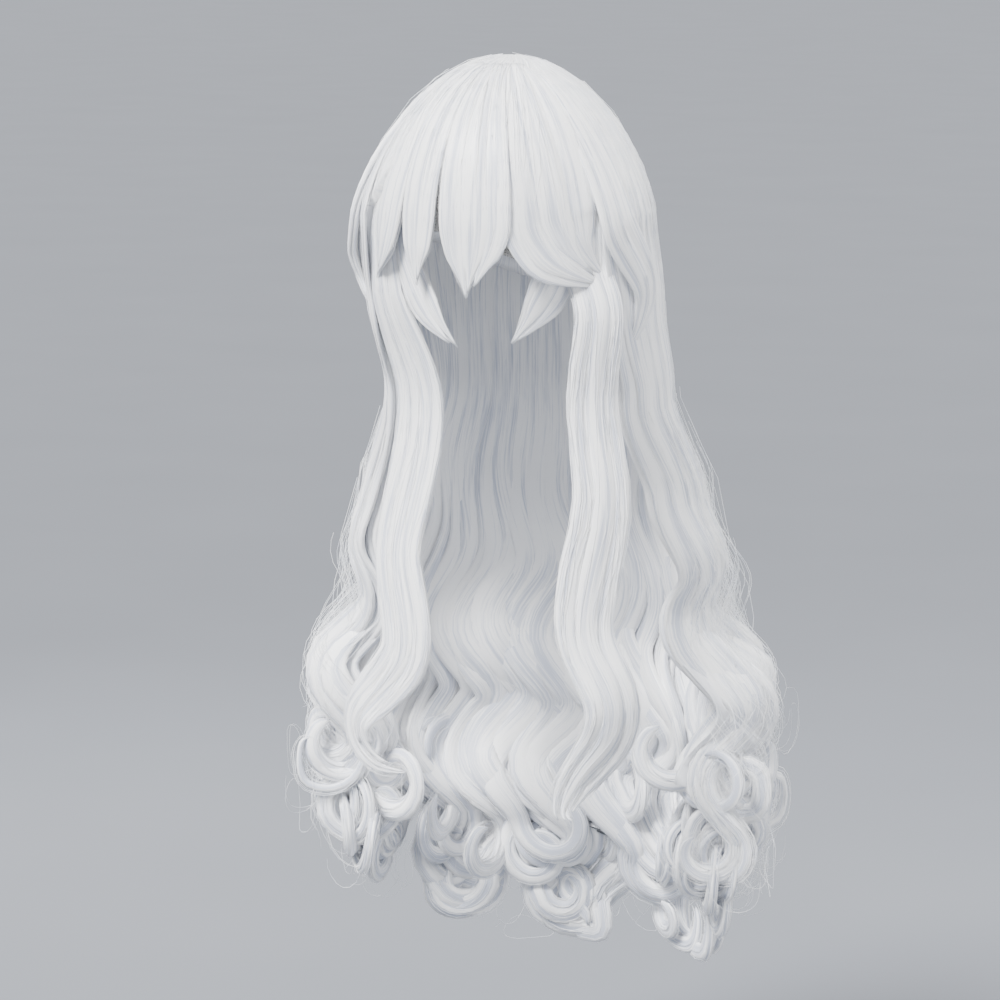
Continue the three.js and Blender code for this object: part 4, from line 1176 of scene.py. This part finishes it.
strays = []
stray_turns = [
    rng.uniform(MANE_FRONT, 360 - MANE_FRONT, STRAYS_ROUND),
    rng.uniform(MANE_FRONT, MANE_FRONT + STRAY_SIDE, STRAYS_EACH_SIDE),
    rng.uniform(360 - MANE_FRONT - STRAY_SIDE, 360 - MANE_FRONT, STRAYS_EACH_SIDE),
]
for turn in np.concatenate(stray_turns):
    lift = rng.uniform(-2, STRAY_LIFT)
    radius = rng.uniform(12, 34)
    points, _, downs, face = mane_path(
        turn,
        lambda drop: 0.5 - lift * ease(drop, 0.1, 0.6),
        DROP * float(read(MANE_ROWS, 1, turn)) * rng.uniform(0.78, 1.0) - radius,
        hook=rng.choice([-1, 1]) * rng.uniform(0.35, 1.2),
        radius=radius,
        drift=rng.uniform(-12, 12),
        veer=rng.uniform(-60, 60),
        shift=rng.uniform(-0.4, 0.4),
        swing=rng.uniform(0.7, 1.25),
        start=rng.choice([0.3, 0.5, 0.62]),
        margin=STRAY_MARGIN,
    )
    spread = STRAY_REACH * np.ones((len(points), 1))
    strays.append((points, sideways(turn) * spread, face * spread, 2))
for turn in rng.uniform(-180, 180, STRAYS_OVER):
    reach = (0.8, 1.4) if abs(turn) < FACE_TURN else (1.1, 2.6)
    level = np.linspace(0.05, rng.uniform(*reach), STRAY_STEPS)
    lift = rng.uniform(1.5, 6) * np.sin(np.linspace(0.1, 3.0, STRAY_STEPS))
    line = on_hair(turn + rng.uniform(-16, 16) * np.linspace(0, 1, STRAY_STEPS), level, -lift)
    strays.append((line, sideways(turn) * np.full((STRAY_STEPS, 1), 3.0), outward(turn, level) * 1.2, 2))
flyaway = {"thickness": 0.42, "lift": 0.3, "frizz": 7.0, "turned": 9, "uneven": 0.35}
grow_strands("stray_hairs", strays, STRAY_SEED, **flyaway)

# The floor and the light: a plain pale floor of matt paint, well under the curls, so the wig hangs free.
# The light is a large soft sun from the front, with softboxes at the side and behind that draw the outline.
FLOOR_Z, FLOOR_REACH = -0.95, 80.0
TARGET = np.array([0.0, 0.0, -0.338])
KEY_AZIMUTH, KEY_ELEVATION, KEY_POWER, KEY_SPREAD = -24, 50, 10.5, 22
# Name, azimuth, elevation, distance, width, power
LAMPS = [
    ("fill_softbox", 70, 8, 2.0, 1.0, 16),
    ("rim_softbox_left", -130, 20, 1.9, 0.8, 30),
    ("rim_softbox_right", 140, 20, 1.9, 0.8, 30),
]
BACKDROP_POWER = 0.9
CAMERA_AZIMUTH, CAMERA_ELEVATION, CAMERA_DISTANCE = 18.0, 10.3, 2.85
CAMERA_LENS, CAMERA_SENSOR, CAMERA_SHIFT = 128, 36, -0.008


def set_up(name, data, azimuth, elevation, distance):
    """Puts a lamp or the camera where it looks at the wig."""
    a, e = math.radians(azimuth), math.radians(elevation)
    back = np.array([math.sin(a) * math.cos(e), -math.cos(a) * math.cos(e), math.sin(e)])
    thing = put_in_scene(name, data)
    thing.location = TARGET + back * distance
    thing.rotation_mode = "QUATERNION"
    thing.rotation_quaternion = Vector(tuple(-back)).to_track_quat("-Z", "Y")
    return thing


floor_mesh = bpy.data.meshes.new("floor")
ways = [(-1, -1), (1, -1), (1, 1), (-1, 1)]
corners = [(x * FLOOR_REACH, y * FLOOR_REACH, FLOOR_Z) for x, y in ways]
floor_mesh.from_pydata(corners, [], [(0, 1, 2, 3)])
floor = put_in_scene("floor", floor_mesh)
floor_paint, floor_nodes, floor_surface = new_material("matt floor paint, pale grey", Roughness=0.9)
floor_place = add(floor_nodes, "ShaderNodeTexCoord").outputs["Object"]
floor_tone = add(floor_nodes, "ShaderNodeTexNoise", {"Vector": floor_place, "Scale": 3.0}).outputs["Fac"]
paint(floor_nodes, floor_surface, floor_tone, [(0.3, "686b71"), (0.7, "6a6d73")])
floor_mesh.materials.append(floor_paint)

world = bpy.data.worlds.new("studio")
bpy.context.scene.world = world
world.use_nodes = True
backdrop = world.node_tree.nodes["Background"]
backdrop.inputs["Color"].default_value = linear("e4e6ea")
backdrop.inputs["Strength"].default_value = BACKDROP_POWER

key = bpy.data.lights.new("key_light", "SUN")
key.energy = KEY_POWER
key.angle = math.radians(KEY_SPREAD)
set_up("key_light", key, KEY_AZIMUTH, KEY_ELEVATION, 1)
for name, azimuth, elevation, distance, width, power in LAMPS:
    lamp = bpy.data.lights.new(name, "AREA")
    lamp.energy = power
    lamp.size = width
    set_up(name, lamp, azimuth, elevation, distance)

camera = bpy.data.cameras.new("camera")
camera.lens = CAMERA_LENS
camera.sensor_width = CAMERA_SENSOR
camera.shift_x = CAMERA_SHIFT
bpy.context.scene.camera = set_up("camera", camera, CAMERA_AZIMUTH, CAMERA_ELEVATION, CAMERA_DISTANCE)
